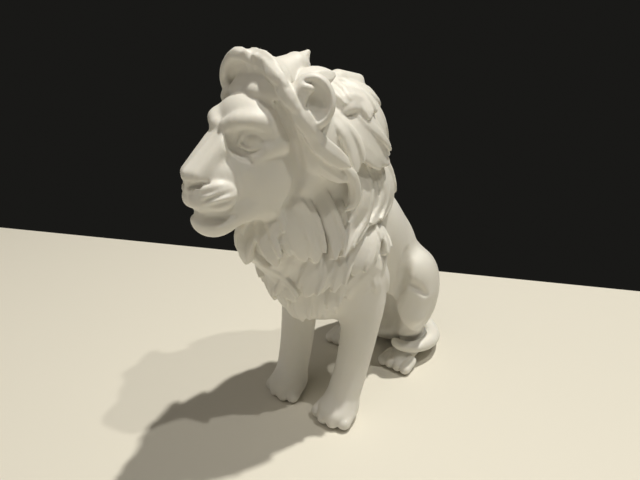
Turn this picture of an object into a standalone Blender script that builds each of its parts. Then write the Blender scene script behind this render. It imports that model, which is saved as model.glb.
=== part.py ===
"""A seated lion figurine with a full mane, 130 mm tall, printed in one piece in white plastic.

The lion is modelled as a sculptor would: forms of clay (eggs, limbs and locks of hair) are pressed
together with soft joins, and the skin around all of them becomes one closed mesh. Lengths are in
millimetres until the mesh is made. X is the lion's left, Y is its back and Z is up.
"""

import math

import bpy
import numpy as np

MM = 0.001
GRID_PITCH = 1.1
MOST_TRIANGLES = 9400
FAR = 30.0
REACH = 9.0
BASE_SNAP = 0.25
SLOPE_STEP = 0.2
PLASTIC_COLOUR = (0.80, 0.78, 0.72, 1.0)
# The point between the front paws where the modelling starts, seen from the middle of the base.
FRONT_PAWS = np.array([-0.03, -17.1, 0.0])


def turn(x=0.0, y=0.0, z=0.0):
    """Rotation matrix of the angles in degrees, about X first, then Y, then Z."""
    a, b, c = (math.radians(angle) for angle in (x, y, z))
    about_x = np.array([[1, 0, 0], [0, math.cos(a), -math.sin(a)], [0, math.sin(a), math.cos(a)]])
    about_y = np.array([[math.cos(b), 0, math.sin(b)], [0, 1, 0], [-math.sin(b), 0, math.cos(b)]])
    about_z = np.array([[math.cos(c), -math.sin(c), 0], [math.sin(c), math.cos(c), 0], [0, 0, 1]])
    return about_z @ about_y @ about_x


def soft_min(a, b, blend):
    """The nearer of two surfaces, with a fillet about as wide as blend where they meet."""
    if blend <= 0:
        return np.minimum(a, b)
    overlap = np.maximum(blend - np.abs(a - b), 0.0) / blend
    return np.minimum(a, b) - overlap * overlap * (blend / 4)


class Egg:
    """An ellipsoid."""

    def __init__(self, centre, radii, rotation=None):
        self.centre = np.array(centre, float)
        self.radii = np.array(radii, float)
        self.axes = np.eye(3) if rotation is None else np.array(rotation, float)

    def mirrored(self):
        flip = np.diag([-1.0, 1.0, 1.0])
        return Egg(flip @ self.centre, self.radii, flip @ self.axes)

    def placed(self, rotation, origin):
        return Egg(rotation @ self.centre + origin, self.radii, rotation @ self.axes)

    def bounds(self):
        half = np.sqrt(((self.axes * self.radii) ** 2).sum(axis=1))
        return self.centre - half, self.centre + half

    def distance(self, x, y, z):
        dx, dy, dz = x - self.centre[0], y - self.centre[1], z - self.centre[2]
        near, steep = 0.0, 0.0
        for column, radius in zip(self.axes.T, self.radii):
            along = (dx * column[0] + dy * column[1] + dz * column[2]) / radius
            near = near + along * along
            steep = steep + along * along / radius**2
        near = np.sqrt(near)
        return near * (near - 1.0) / np.sqrt(steep + 1e-9)


class Limb:
    """A round limb through points, each with its own radius."""

    def __init__(self, *stops):
        self.points = np.array([stop[:3] for stop in stops], float)
        self.radii = np.array([stop[3] for stop in stops], float)

    def _like(self, points):
        other = Limb(*np.column_stack([points, self.radii]))
        return other

    def mirrored(self):
        return self._like(self.points * [-1.0, 1.0, 1.0])

    def placed(self, rotation, origin):
        return self._like(self.points @ rotation.T + origin)

    def bounds(self):
        radii = self.radii[:, None]
        return (self.points - radii).min(axis=0), (self.points + radii).max(axis=0)

    def distance(self, x, y, z):
        nearest = None
        for i in range(len(self.points) - 1):
            a, b = self.points[i], self.points[i + 1]
            run = b - a
            dx, dy, dz = x - a[0], y - a[1], z - a[2]
            along = np.clip((dx * run[0] + dy * run[1] + dz * run[2]) / (run @ run), 0.0, 1.0)
            off = (dx - along * run[0]) ** 2 + (dy - along * run[1]) ** 2 + (dz - along * run[2]) ** 2
            far = np.sqrt(off) - (self.radii[i] + along * (self.radii[i + 1] - self.radii[i]))
            nearest = far if nearest is None else np.minimum(nearest, far)
        return nearest


def smooth_path(stops, pieces=5):
    """More stops along a smooth curve through these ones."""
    stops = np.array(stops, float)
    ends = np.vstack([2 * stops[0] - stops[1], stops, 2 * stops[-1] - stops[-2]])
    found = []
    for i in range(len(stops) - 1):
        a, b, c, d = ends[i : i + 4]
        for t in np.arange(pieces) / pieces:
            bend, twist = 2 * a - 5 * b + 4 * c - d, 3 * b - a - 3 * c + d
            found.append(0.5 * (2 * b + (c - a) * t + bend * t**2 + twist * t**3))
    found.append(stops[-1])
    return np.array(found)


class Lock:
    """A leaf-shaped lock of hair: a flat blade along points, with a pointed tip and grooves on its face."""

    def __init__(self, points, faces, wide, thick, under=None, strands=3, groove=0.3):
        self.points = np.array(points, float)
        self.faces = np.array(faces, float)
        self.wide = np.array(wide, float)
        self.thick = np.array(thick, float)
        self.under = self.thick if under is None else np.array(under, float)
        self.strands, self.groove = strands, groove

    def _like(self, points, faces):
        return Lock(points, faces, self.wide, self.thick, self.under, self.strands, self.groove)

    def mirrored(self):
        return self._like(self.points * [-1.0, 1.0, 1.0], self.faces * [-1.0, 1.0, 1.0])

    def placed(self, rotation, origin):
        return self._like(self.points @ rotation.T + origin, self.faces @ rotation.T)

    def bounds(self):
        widest = max(self.wide.max(), self.under.max())
        return self.points.min(axis=0) - widest, self.points.max(axis=0) + widest

    def frames(self):
        """Unit vectors along, out of and across the blade at each point."""
        ahead = np.gradient(self.points, axis=0)
        ahead /= np.sqrt((ahead**2).sum(axis=1))[:, None]
        out = self.faces - (self.faces * ahead).sum(axis=1)[:, None] * ahead
        out /= np.sqrt((out**2).sum(axis=1))[:, None]
        return ahead, out, np.cross(ahead, out)

    def nearest_place(self, x, y, z):
        """How far along the points, counted in points, the nearest place to each x, y, z is."""
        least, place = None, None
        for i in range(len(self.points) - 1):
            start, run = self.points[i], self.points[i + 1] - self.points[i]
            dx, dy, dz = x - start[0], y - start[1], z - start[2]
            share = np.clip((dx * run[0] + dy * run[1] + dz * run[2]) / (run @ run), 0.0, 1.0)
            off = (dx - share * run[0]) ** 2 + (dy - share * run[1]) ** 2 + (dz - share * run[2]) ** 2
            if least is None:
                least, place = off, i + share
            else:
                place = np.where(off < least, i + share, place)
                least = np.minimum(off, least)
        return place

    def distance(self, x, y, z):
        place = self.nearest_place(x, y, z)
        stops = np.arange(len(self.points))
        off = [axis - np.interp(place, stops, self.points[:, n]) for n, axis in enumerate((x, y, z))]

        def towards(vectors):
            return sum(off[n] * np.interp(place, stops, vectors[:, n]) for n in range(3))

        beyond, above, across = (towards(vectors) for vectors in self.frames())
        wide = np.interp(place, stops, self.wide)
        thick = np.where(above > 0, np.interp(place, stops, self.thick), np.interp(place, stops, self.under))
        across, above = across / wide, above / thick
        near = np.sqrt(across * across + above * above)
        far = near * (near - 1.0) / (np.sqrt((across / wide) ** 2 + (above / thick) ** 2) + 1e-6)
        if self.groove:
            comb = 0.5 - 0.5 * np.cos(math.pi * self.strands * (across + 1.0))
            far = far + self.groove * comb * np.clip(above, 0.0, 1.0)
        end = (place <= 0) | (place >= len(stops) - 1)
        beyond = np.where(end, np.abs(beyond), 0.0)
        return np.where(end, np.sqrt(np.maximum(far, 0.0) ** 2 + beyond * beyond), far).astype(np.float32)


class Cluster:
    """Forms joined softly among themselves, before they meet the rest."""

    def __init__(self, forms, blend):
        self.forms, self.blend = forms, blend

    def mirrored(self):
        return Cluster([form.mirrored() for form in self.forms], self.blend)

    def placed(self, rotation, origin):
        return Cluster([form.placed(rotation, origin) for form in self.forms], self.blend)

    def bounds(self):
        low, high = zip(*(form.bounds() for form in self.forms))
        return np.min(low, axis=0), np.max(high, axis=0)

    def distance(self, x, y, z):
        found = self.forms[0].distance(x, y, z)
        for form in self.forms[1:]:
            found = soft_min(found, form.distance(x, y, z), self.blend)
        return found


class Clay:
    """Distances to the surface on a regular grid: below zero is inside."""

    def __init__(self, low, high, pitch):
        self.low, self.pitch = np.array(low, float), pitch
        count = np.ceil((np.array(high) - self.low) / pitch).astype(int) + 1
        self.field = np.full(count, FAR, np.float32)

    def window(self, low, high):
        """The part of the grid over a box, as slices and the coordinates of its points."""
        first = np.floor((low - self.low) / self.pitch).astype(int)
        last = np.ceil((high - self.low) / self.pitch).astype(int) + 1
        first, last = np.maximum(first, 0), np.minimum(last, self.field.shape)
        slices = tuple(slice(a, max(a, b)) for a, b in zip(first, last))
        lines = [
            (self.low[i] + self.pitch * np.arange(slices[i].start, slices[i].stop)).astype(np.float32)
            for i in range(3)
        ]
        return slices, lines[0][:, None, None], lines[1][None, :, None], lines[2][None, None, :]

    def add(self, form, blend=0.0, reach=REACH):
        low, high = form.bounds()
        slices, x, y, z = self.window(low - reach, high + reach)
        self.field[slices] = soft_min(self.field[slices], form.distance(x, y, z), blend)

    def cut(self, form, blend=0.0):
        low, high = form.bounds()
        slices, x, y, z = self.window(low - blend - 1.0, high + blend + 1.0)
        self.field[slices] = -soft_min(-self.field[slices], form.distance(x, y, z), blend)

    def cut_flat(self, height):
        """Leaves nothing below this height."""
        z = self.low[2] + self.pitch * np.arange(self.field.shape[2])
        self.field = np.maximum(self.field, (height - z).astype(np.float32)[None, None, :])


def fill_touching_corners(inside):
    """Fills grid points until no two filled ones touch only across a diagonal, so the skin is one sheet."""
    for _ in range(20):
        added = 0
        for axis_a, axis_b in ((0, 1), (0, 2), (1, 2)):
            a = np.moveaxis(inside, (axis_a, axis_b), (0, 1))
            p, q, r, s = a[:-1, :-1], a[1:, 1:], a[1:, :-1], a[:-1, 1:]
            first = p & q & ~r & ~s
            second = ~p & ~q & r & s
            added += int(first.sum() + second.sum())
            r |= first
            p |= second
        if not added:
            return


def skin(clay):
    """Points and four-sided faces of the surface where the distance is zero (surface nets)."""
    field = clay.field.copy()
    inside = field < 0
    whole = inside.copy()
    fill_touching_corners(whole)
    field[whole & ~inside] = -0.02 * clay.pitch
    inside = whole
    corners = np.array([(i, j, k) for i in (0, 1) for j in (0, 1) for k in (0, 1)])
    cells = tuple(n - 1 for n in inside.shape)
    filled = np.zeros(cells, np.int8)
    for i, j, k in corners:
        filled += inside[i : cells[0] + i, j : cells[1] + j, k : cells[2] + k]
    where = np.argwhere((filled > 0) & (filled < 8))
    number = np.full(cells, -1, np.int64)
    number[tuple(where.T)] = np.arange(len(where))
    values = np.stack([field[tuple((where + corner).T)] for corner in corners], axis=1)
    total, hits = np.zeros((len(where), 3)), np.zeros(len(where))
    for a in range(8):
        for b in range(a + 1, 8):
            if np.abs(corners[a] - corners[b]).sum() != 1:
                continue
            crosses = (values[:, a] < 0) != (values[:, b] < 0)
            share = values[crosses, a] / (values[crosses, a] - values[crosses, b])
            total[crosses] += corners[a] + share[:, None] * (corners[b] - corners[a])
            hits[crosses] += 1
    points = clay.low + clay.pitch * (where + total / hits[:, None])
    faces = []
    for axis in range(3):
        along = np.moveaxis(inside, axis, 0)
        flips = np.argwhere(along[1:] != along[:-1])
        side_b, side_c = (axis + 1) % 3, (axis + 2) % 3
        place = np.empty_like(flips)
        others = [n for n in range(3) if n != axis]
        place[:, axis], place[:, others[0]], place[:, others[1]] = flips.T
        step_b, step_c = np.eye(3, dtype=int)[side_b], np.eye(3, dtype=int)[side_c]
        around = [place - step_b - step_c, place - step_c, place, place - step_b]
        quads = np.stack([number[tuple(cell.T)] for cell in around], axis=1)
        outward = inside[tuple(place.T)]
        faces.append(np.where(outward[:, None], quads, quads[:, ::-1]))
    return points, np.concatenate(faces)


def largest_part(faces):
    """The faces of the largest piece of a closed mesh, leaving out bubbles and crumbs."""
    corners = faces.shape[1]
    ends = np.concatenate([faces[:, [n, (n + 1) % corners]] for n in range(corners)])
    ends.sort(axis=1)
    order = np.lexsort(ends.T)
    first, second = (order % len(faces)).reshape(-1, 2).T
    label = np.arange(len(faces))
    while True:
        before = label.copy()
        least = np.minimum(label[first], label[second])
        np.minimum.at(label, first, least)
        np.minimum.at(label, second, least)
        label = label[label]
        if (label == before).all():
            break
    return faces[label == np.bincount(label).argmax()]


# The lion's head is modelled looking straight ahead, with the origin midway between its eyes.
HEAD_PLACE = np.array([-4.7, -26.6, 107.6])
HEAD_TURN = turn(z=-10.0)


def pair(form):
    return [form, form.mirrored()]


def in_world(forms):
    return [(form.placed(HEAD_TURN, HEAD_PLACE), blend) for form, blend in forms]


def torso():
    """Body masses from the shoulders to the rump, each with the width of its join."""
    forms = [
        (Egg((0, 9, 58), (16, 17, 22)), 0),
        (Egg((0, 27, 68), (15, 18, 17), turn(x=-40)), 8),
        (Egg((0, 42.5, 52), (16.5, 29.5, 18), turn(x=-52)), 8),
        (Egg((0, 57.5, 27), (16.5, 16, 25)), 8),
    ]
    for side in pair(Egg((13, 12.5, 56), (6.6, 10.5, 18), turn(x=8, y=-6))):
        forms.append((side, 6))
    return forms


def hind_legs():
    forms = []
    for haunch in pair(Egg((14.4, 52, 31), (9, 16, 18.5), turn(x=-18))):
        forms.append((haunch, 8))
    for thigh in pair(Egg((18.5, 47.5, 42), (6.2, 8.5, 10.5), turn(x=20))):
        forms.append((thigh, 6))
    for knee in pair(Limb((18.2, 45.5, 36, 6.2), (18.6, 43.5, 28, 5.4))):
        forms.append((knee, 3))
    for shank in pair(Limb((14.0, 45, 27, 5.0), (13.5, 50, 18, 4.8), (13.5, 57, 9, 4.6))):
        forms.append((shank, 2))
    for side in pair(Limb((14.5, 60, 5.4, 5.0), (14.6, 49, 4.2, 4.4), (14.6, 43, 3.6, 4.2))):
        forms.append((side, 3))
    for across in (-4.8, -1.6, 1.6, 4.8):
        for toe in pair(Limb((14.8 + across, 44.0, 3.6, 2.4), (14.4 + across * 1.1, 38.8, 2.6, 2.4))):
            forms.append((toe, 0.4))
    return forms


# Cuts round each thigh: the hollow before the haunch, the crease over the knee and the hollow below.
LEG_FOLDS = (
    (((16.8, 39.0, 56, 0.6), (16.6, 38.0, 48, 1.2), (15.9, 37.6, 42, 1.4), (14.0, 36.6, 34, 1.0)), 3.0),
    (((17.0, 37.4, 45, 0.8), (19.4, 37.8, 43.6, 1.1), (22.4, 40, 41.4, 1.1), (24.4, 43, 38, 0.4)), 2.0),
    (((9, 36.5, 34, 3), (10.5, 37.2, 28, 5), (13.5, 38, 22, 4.6), (16.6, 42, 17, 3), (21, 47, 13, 1.6)), 2.0),
)


BELLY_HOLLOW = Egg((0, 37, 24), (15, 16, 15.5))


def leg_folds():
    folds = [(side, blend) for stops, blend in LEG_FOLDS for side in pair(Limb(*stops))]
    return folds + [(BELLY_HOLLOW, 3)]


def tail():
    """The tail, round the left haunch and over the left hind foot."""
    path = smooth_path((
        (0, 71, 9, 4.2), (11, 73.5, 5.5, 3.6), (18.2, 67.0, 5.6, 3.4), (21.6, 58.0, 7.8, 3.1),
        (21.0, 50.5, 8.8, 2.7), (18.0, 44.2, 10.0, 2.4), (14.4, 40.8, 12.0, 2.2), (11.6, 39.6, 15.2, 0.8),
    ))
    return [(Limb(*path), 1.0)]


# The fore legs from the shoulder to the wrist. The right one stands a little further in.
LEFT_LEG = ((14.2, 11.2, 54, 8.0), (15.2, 10.6, 42, 7.1), (14.2, 6.8, 22, 6.1), (12.8, 3, 9, 6.2))
RIGHT_LEG = ((-13.4, 11.2, 54, 8.0), (-13.6, 10.6, 42, 7.3), (-12.6, 6.6, 22, 6.5), (-12.4, 3, 9, 6.2))


def fore_legs():
    forms = [(Limb(*smooth_path(leg, 3)), 5) for leg in (LEFT_LEG, RIGHT_LEG)]
    for side in pair(Egg((12.4, 0.5, 4.4), (7.4, 8.0, 5.4))):
        forms.append((side, 3))
    for across, ahead in ((-5.2, 1.4), (-1.9, 0), (1.8, 0.2), (5.2, 2.0)):
        for toe in pair(Limb((12.3 + across, 0, 4.4, 2.6), (12.1 + across * 1.08, -5.2 + ahead, 2.9, 2.6))):
            forms.append((toe, 0.4))
    return forms


def skull():
    """Cranium, forehead, cheeks and the underside of the jaw."""
    forms = [
        (Egg((0, 12, -4), (12.2, 14, 13)), 0),
        (Egg((0, 4.6, 2.9), (11.4, 7.9, 8.1)), 3),
        (Egg((0, 3, -19.5), (8, 9, 4.5)), 3),
    ]
    for cheek in pair(Egg((6.0, 6.8, -11.8), (6.6, 9.8, 10.6))):
        forms.append((cheek, 3))
    for jaw in pair(Limb((3.4, -4.0, -19.6, 3.6), (6.4, 4.5, -18.6, 4.4))):
        forms.append((jaw, 2.5))
    return forms


def muzzle():
    """The bridge of the nose, the nose, the whisker pads and the chin."""
    forms = [(Egg((0, -4.5, -11.0), (7.8, 10.0, 8.4)), 3)]
    for across, tip in ((-2.8, -13.2), (0.0, -14.3), (2.8, -13.2)):
        forms.append((Limb((1.1 * across, -2.6, 0.4, 2.9), (0.9 * across, tip, -8.8, 2.4)), 1.2))
    for side in pair(Limb((4.2, -2.6, -4.8, 2.6), (6.0, -0.6, -8.4, 3.6))):
        forms.append((side, 1.6))
    forms.append((Egg((0, -12.6, -12.2), (4.8, 3.5, 4.4)), 0.8))
    for lip in pair(Egg((2.4, -12.0, -15.4), (3.4, 4.4, 3.6), turn(z=-30))):
        forms.append((lip, 0.6))
    for pad in pair(Egg((5.3, -9.5, -14.0), (4.2, 5.2, 4.5), turn(z=-22))):
        forms.append((pad, 0.5))
    forms.append((Egg((0, -8.6, -22.2), (6.8, 6.2, 5.2)), 1.2))
    for side in pair(Limb((3.6, -6.4, -21.6, 3.6), (5.4, -1.5, -19.6, 3.6))):
        forms.append((side, 1.5))
    return forms


def brows():
    ridge = ((2.4, -3.6, 3.0, 2.0), (5.8, -1.5, 4.1, 2.7), (8.6, 1.4, 4.2, 2.4), (10.2, 4.4, 3.4, 2.0))
    forms = [(side, 1.6) for side in pair(Limb(*smooth_path(ridge, 3)))]
    for temple in pair(Limb((8.4, 4.6, 4.4, 2.6), (10.0, 6.4, 1.0, 2.7), (10.8, 7.6, -1.8, 2.4))):
        forms.append((temple, 1.5))
    for cheekbone in pair(Limb((8.6, 0.6, -5.2, 1.8), (10.4, 3.4, -3.2, 2.0), (11.6, 7.6, -2.0, 1.8))):
        forms.append((cheekbone, 1.6))
    return forms


def face():
    """The head without its mane, in the head's own frame."""
    return skull() + muzzle() + brows()


def looking_out(across, ahead, up=0.0):
    """Axes of a form whose first radius points this way from the head."""
    aim = np.array([across, ahead, up]) / math.sqrt(across**2 + ahead**2 + up**2)
    side = np.cross([0, 0, 1], aim)
    side = side / math.sqrt(side @ side)
    return np.column_stack([aim, side, np.cross(aim, side)])


def face_cuts():
    """The hollows of the eyes."""
    cuts = []
    for socket in pair(Egg((9.1, -2.4, -0.9), (3.3, 5.4, 3.8), looking_out(0.72, -0.69))):
        cuts.append((socket, 1.0))
    inner = ((5.2, -5.0, 0.8, 1.3), (5.6, -4.6, -2.0, 1.3), (7.6, -2.6, -4.4, 1.2), (9.0, -1.0, -5.8, 0.5))
    for side in pair(Limb(*inner)):
        cuts.append((side, 0.8))
    return cuts


def eyes():
    forms = [(ball, 0.2) for ball in pair(Egg((6.2, 2.4, -0.5), (3.9, 3.9, 3.7)))]
    upper = (
        (5.6, -2.2, -1.0, 0.5), (6.6, -1.2, 1.3, 0.9), (8.0, 0.4, 2.1, 1.1), (9.8, 2.4, 1.0, 0.9),
        (11.0, 5.0, -0.7, 0.6),
    )
    lower = ((5.6, -2.2, -1.4, 0.5), (7.6, -0.8, -2.8, 0.6), (9.7, 1.6, -2.1, 0.6), (11.0, 5.0, -1.2, 0.6))
    for lid in pair(Limb(*smooth_path(upper, 3))) + pair(Limb(*smooth_path(lower, 3))):
        forms.append((lid, 0.4))
    return forms


# Heights of the whisker rows: where each starts, its middle and its end.
WHISKER_ROWS = ((-13.0, -11.6, -11.2), (-15.2, -13.3, -12.7), (-17.0, -15.6, -15.1))


def fine_cuts():
    """The nostrils and the edge of the nose, the split of the upper lip, the mouth and the whisker rows."""
    cuts = []
    for edge in pair(Limb((0, -17.3, -10.6, 0.6), (2.9, -15.2, -10.7, 0.7), (5.4, -12.2, -10.4, 0.6))):
        cuts.append((edge, 0.3))
    for nostril in pair(Limb((1.5, -15.4, -11.8, 0.6), (3.4, -13.6, -11.4, 0.9))):
        cuts.append((nostril, 0.4))
    cuts.append((Limb((0, -16.8, -13.6, 0.5), (0, -15.8, -19.4, 0.7)), 0.8))
    mouth = ((0, -15.6, -19.6, 1), (3.7, -13.8, -20.2, 1.3), (7, -8.9, -20.3, 1.2), (8.8, -5.8, -19.6, 0.7))
    for side in pair(Limb(*mouth)):
        cuts.append((side, 0.9))
    for corner in pair(Egg((7.8, -7.0, -19.9), (1.3, 1.4, 0.8))):
        cuts.append((corner, 0.5))
    for start, middle, end in WHISKER_ROWS:
        row = smooth_path(((5.3, -14.8, start, 0.3), (8.8, -11.0, middle, 0.5), (9.6, -6.6, end, 0.3)), 3)
        for side in pair(Limb(*row)):
            cuts.append((side, 1.0))
    return cuts


HAIRLINE = (
    (0, 3.6, 10.8), (4.5, 2.0, 10.9), (8.5, 4.8, 10.2), (10.8, 7.0, 7.7), (12, 8.3, 3.9),
    (12.6, 10.4, -1.5), (12.8, 11.6, -6), (13.2, 13.5, -9),
)
RIM = (
    (0, 5.3, 20.6), (5, 6.3, 19.4), (9.2, 6.9, 17.2), (12.4, 6.8, 14.2), (14.6, 7.4, 11.2),
    (15.8, 8.6, 8), (16.6, 10.8, 4.2), (17.4, 14.6, 0.6), (18.2, 18.8, -3.6), (19.4, 22.8, -8.4),
)
HOOD_STRANDS = 15


def along(curve, share):
    curve = np.array(curve, float)
    place = share * (len(curve) - 1)
    first = min(int(place), len(curve) - 2)
    return curve[first] + (place - first) * (curve[first + 1] - curve[first])


def hood():
    """The standing hair round the face: a hollow fan from the hairline to the rim, with hair behind it."""
    forms = []
    for n in range(HOOD_STRANDS):
        share = n / (HOOD_STRANDS - 1)
        root = along(HAIRLINE, share) + [0, 3.2, 0]
        tip = along(RIM, share)
        middle = 0.5 * (root + tip) + [0, 2.6, -0.8]
        inward = min(1.0, 2.5 * share)
        back = tip * [1 - 0.3 * inward, 1, 1] + [0, 7.0 - 4.0 * inward, -3.0]
        forms.append(Limb((*root, 2.6), (*middle, 2.1), (*tip, 1.0), (*back, 2.4 - 1.0 * inward)))
    return [(half, 0.5) for half in pair(Cluster(forms, 2.2))]


# The furrow between the face and the mane: places and radii from the temple to the jaw.
FURROW = (
    (9.4, 6.4, 9.8, 0.1), (10.6, 7.2, 8.6, 0.4), (11.6, 8.0, 6.6, 0.7),
    (12.4, 8.8, 4.0, 0.8), (13.2, 10.2, -1.4, 0.9), (13.4, 11.2, -4.5, 1.1), (13.4, 11.8, -8.5, 1.2),
    (12.9, 11.7, -12.8, 1.2), (11.9, 10.6, -17.2, 1.0), (10.9, 8.4, -20.8, 0.8),
)


def furrow():
    return [(side, 1.6) for side in pair(Limb(*FURROW))]


def leaf(stops, wide, facing, thick=1.2, tip=0.15, strands=2):
    """A lock through hand-placed stops that shows its flat side in one direction."""
    points = smooth_path(stops, 4)
    share = np.linspace(0, 1, len(points))
    outline = np.interp(share, (0, 0.25, 0.6, 0.85, 1), (0.6, 1.0, 1.0, 0.7, tip))
    above, under = thick * (0.4 + 0.6 * outline), 1.6 * thick * outline + 0.6
    return Lock(points, [facing] * len(points), wide * outline, above, under, strands, 0.3)


LEAF_FACING = (0.75, -0.6, 0.25)
ELBOW_TUFTS = (
    ((19.8, 12.0, 64), (21.6, 13.5, 57), (21.6, 16.4, 50.0)),
    ((20.0, 8.0, 63), (21.8, 8.8, 57), (21.6, 10.8, 51.0)),
)


def elbow_tufts():
    """Pointed hair over the outside of each elbow, in the frame of the body."""
    forms = []
    for stops in ELBOW_TUFTS:
        forms += [(lock, 0.6) for lock in pair(leaf(stops, 2.8, (1, 0, 0.1), 1.1, 0.2))]
    return forms


ROLL_OVER_PEAK = (
    (-10.4, 4.8, 10.8), (-10.9, 4.5, 14.6), (-9.2, 4.7, 18.0), (-5.4, 4.8, 20.5), (-2, 5.0, 20.5),
    (0.8, 5.4, 19.4), (3.0, 5.8, 17.2),
)
NEAR_ROLL = ((-1.5, 7.6, 20.8), (4.2, 7.0, 19.4), (8.2, 7.2, 17.2), (11.0, 7.2, 14.4), (12.6, 7.6, 11.2))
RIM_STEPS = (
    ((7.0, 6.4, 18.4), (11.2, 6.4, 15.6), (14.4, 7.4, 12.8)),
    ((11.6, 6.8, 14.0), (14.6, 7.4, 10.4), (16.2, 9.6, 6.6)),
)
FAR_END = ((-9.4, 5.4, 12.0), (-10.0, 4.0, 9.8), (-9.4, 3.2, 7.4))
UPPER_LEAF = ((14.6, 9.2, 8.2), (16.4, 11.4, 4.2), (17.4, 13.8, 0.8), (18.0, 16.0, -2.6))
LOWER_LEAF = ((16.6, 12.6, 0.6), (18.4, 16.4, -3.2), (19.6, 20.4, -6.4), (20.8, 24.4, -9.4))
UNDER_LEAF = ((14.6, 13.2, -4.2), (16.2, 17.8, -8.8), (17.6, 21.8, -11.8), (18.6, 25.2, -14.2))
CURL = (
    (18.2, 23.6, -9.0), (18.8, 26.8, -12.6), (18.8, 28.6, -17.2), (18.4, 28.6, -21.2), (17.0, 26.2, -23.8),
)


def rim_locks():
    """Broad locks folded over the hood's rim, and the leaves and curl that end it below the ear."""
    ahead = (0.3, -0.85, 0.45)
    forms = [
        (leaf(ROLL_OVER_PEAK, 2.0, (0, -0.75, 0.65), 1.3), 0.6),
        (leaf(FAR_END, 1.5, (0, -1, 0.2)), 0.3),
    ]
    for lock in pair(leaf(NEAR_ROLL, 2.4, ahead, 1.3)):
        forms.append((lock, 0.5))
    for stops in RIM_STEPS:
        for lock in pair(leaf(stops, 2.0, (0.5, -0.7, 0.5), 1.2, 0.35)):
            forms.append((lock, 0.3))
    for lock in pair(leaf(UNDER_LEAF, 2.4, (0.85, -0.4, -0.3))):
        forms.append((lock, 0.3))
    for lock in pair(leaf(LOWER_LEAF, 2.7, LEAF_FACING, 1.5)):
        forms.append((lock, 0.3))
    for lock in pair(leaf(UPPER_LEAF, 2.7, LEAF_FACING, 1.8, 0.5)):
        forms.append((lock, 0.3))
    for lock in pair(leaf(CURL, 1.9, LEAF_FACING, 1.5)):
        forms.append((lock, 0.4))
    return forms


def ears():
    forms, cuts = [], []
    axes = looking_out(0.78, -0.62, 0.14)
    facing = axes[:, 0]
    centre = np.array([16.4, 14.0, 8.9])
    for ear in pair(Egg(centre, (3.0, 6.3, 7.4), axes)):
        forms.append((ear, 0.6))
    for back in pair(Limb((13, 18.6, 6.4, 4.5), (15.8, 15.8, 7.8, 4.0))):
        forms.append((back, 1.5))
    for cup in pair(Egg(centre + 2.6 * facing, (3.2, 5.0, 6.0), axes)):
        cuts.append((cup, 0.5))
    return forms, cuts


def ear_folds():
    """The two folds of fur inside each ear."""
    forms = []
    for fold in pair(Limb((14.6, 10.4, 11.1, 1.2), (15.4, 11.6, 12.7, 1.2), (17.2, 13.0, 12.3, 0.8))):
        forms.append((fold, 0.8))
    for fold in pair(Limb((15.2, 11.0, 7.1, 1.0), (15.6, 11.8, 10.1, 1.2), (16.4, 13.0, 12.3, 0.9))):
        forms.append((fold, 0.8))
    return forms


def mane_mass():
    """The bulk under the locks."""
    return [
        (Egg((0, 20, -4), (16.5, 14.5, 17)).placed(HEAD_TURN, HEAD_PLACE), 0),
        (Egg((0, 15, -13), (14, 8, 12)).placed(HEAD_TURN, HEAD_PLACE), 3),
        (Egg((0, 10.5, 103.5), (15.5, 15.0, 17.5)), 6),
        (Egg((0, 7, 88), (16.5, 17, 21)), 6),
        (Egg((0, 20, 84), (15.0, 11.5, 16.5)), 6),
        (Egg((-1.5, -7.5, 80), (12.0, 11, 15.5)), 6),
        (Egg((-2.5, -12.5, 76.5), (11, 11.5, 12.0)), 5),
        (Egg((-0.5, -1.5, 65), (14, 13, 16.5)), 6),
        (Egg((0, 0, 54), (11, 10, 12)), 6),
        (Egg((0, 9.5, 64), (20.6, 12.5, 18)), 5),
    ]


def mane_distance(points):
    """Distance of single points to the mane's bulk."""
    x, y, z = points.T
    found = None
    for form, blend in mane_mass():
        far = form.distance(x, y, z)
        found = far if found is None else soft_min(found, far, blend)
    return found


def mane_facing(points):
    """Outward direction of the mane's bulk at points."""
    steps = SLOPE_STEP * np.eye(3)
    slopes = [mane_distance(points + step) - mane_distance(points - step) for step in steps]
    slopes = np.stack(slopes, axis=1)
    return slopes / np.sqrt((slopes**2).sum(axis=1))[:, None]


def comb(points):
    """The way the hair lies at points: back over the crown, down the sides and the chest."""
    height = np.clip((points[:, 2] - 86) / 32, 0.0, 1.0)[:, None]
    back = np.array([0, 1.0, -0.25])
    down = np.array([0, -0.05, -1.0])
    return height * back + (1 - height) * down


def in_head(points):
    return (points - HEAD_PLACE) @ HEAD_TURN


def outside_face(points):
    local = in_head(points)
    x, y, z = local.T
    far = np.min([form.distance(x, y, z) for form, _ in face()], axis=0)
    fringe = (z > 3) & (y < 13)
    return (far > 0.8) & ~fringe


# What a lock's half width never falls below, so that its tip is as thick as a printed line.
THINNEST_TIP = 0.35
# Rows of locks on the crown and back: centre and lean of the ring, first and last angle, number, length,
# half width, lift.
ROWS = (
    ((-2, -13, 101), 4, -128, 128, 13, 31, 5.6, 4.2),
    ((0, -1, 98), 22, -125, 125, 12, 31, 5.8, 3.8),
    ((0, 7, 92), 46, -120, 120, 11, 28, 5.8, 3.2),
    ((0, 9, 83), 64, -115, 115, 10, 24, 5.2, 2.6),
)
# Where the rows stop on each side: nearer to the front, each lock is placed by hand.
ROWS_FROM = 122

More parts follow.
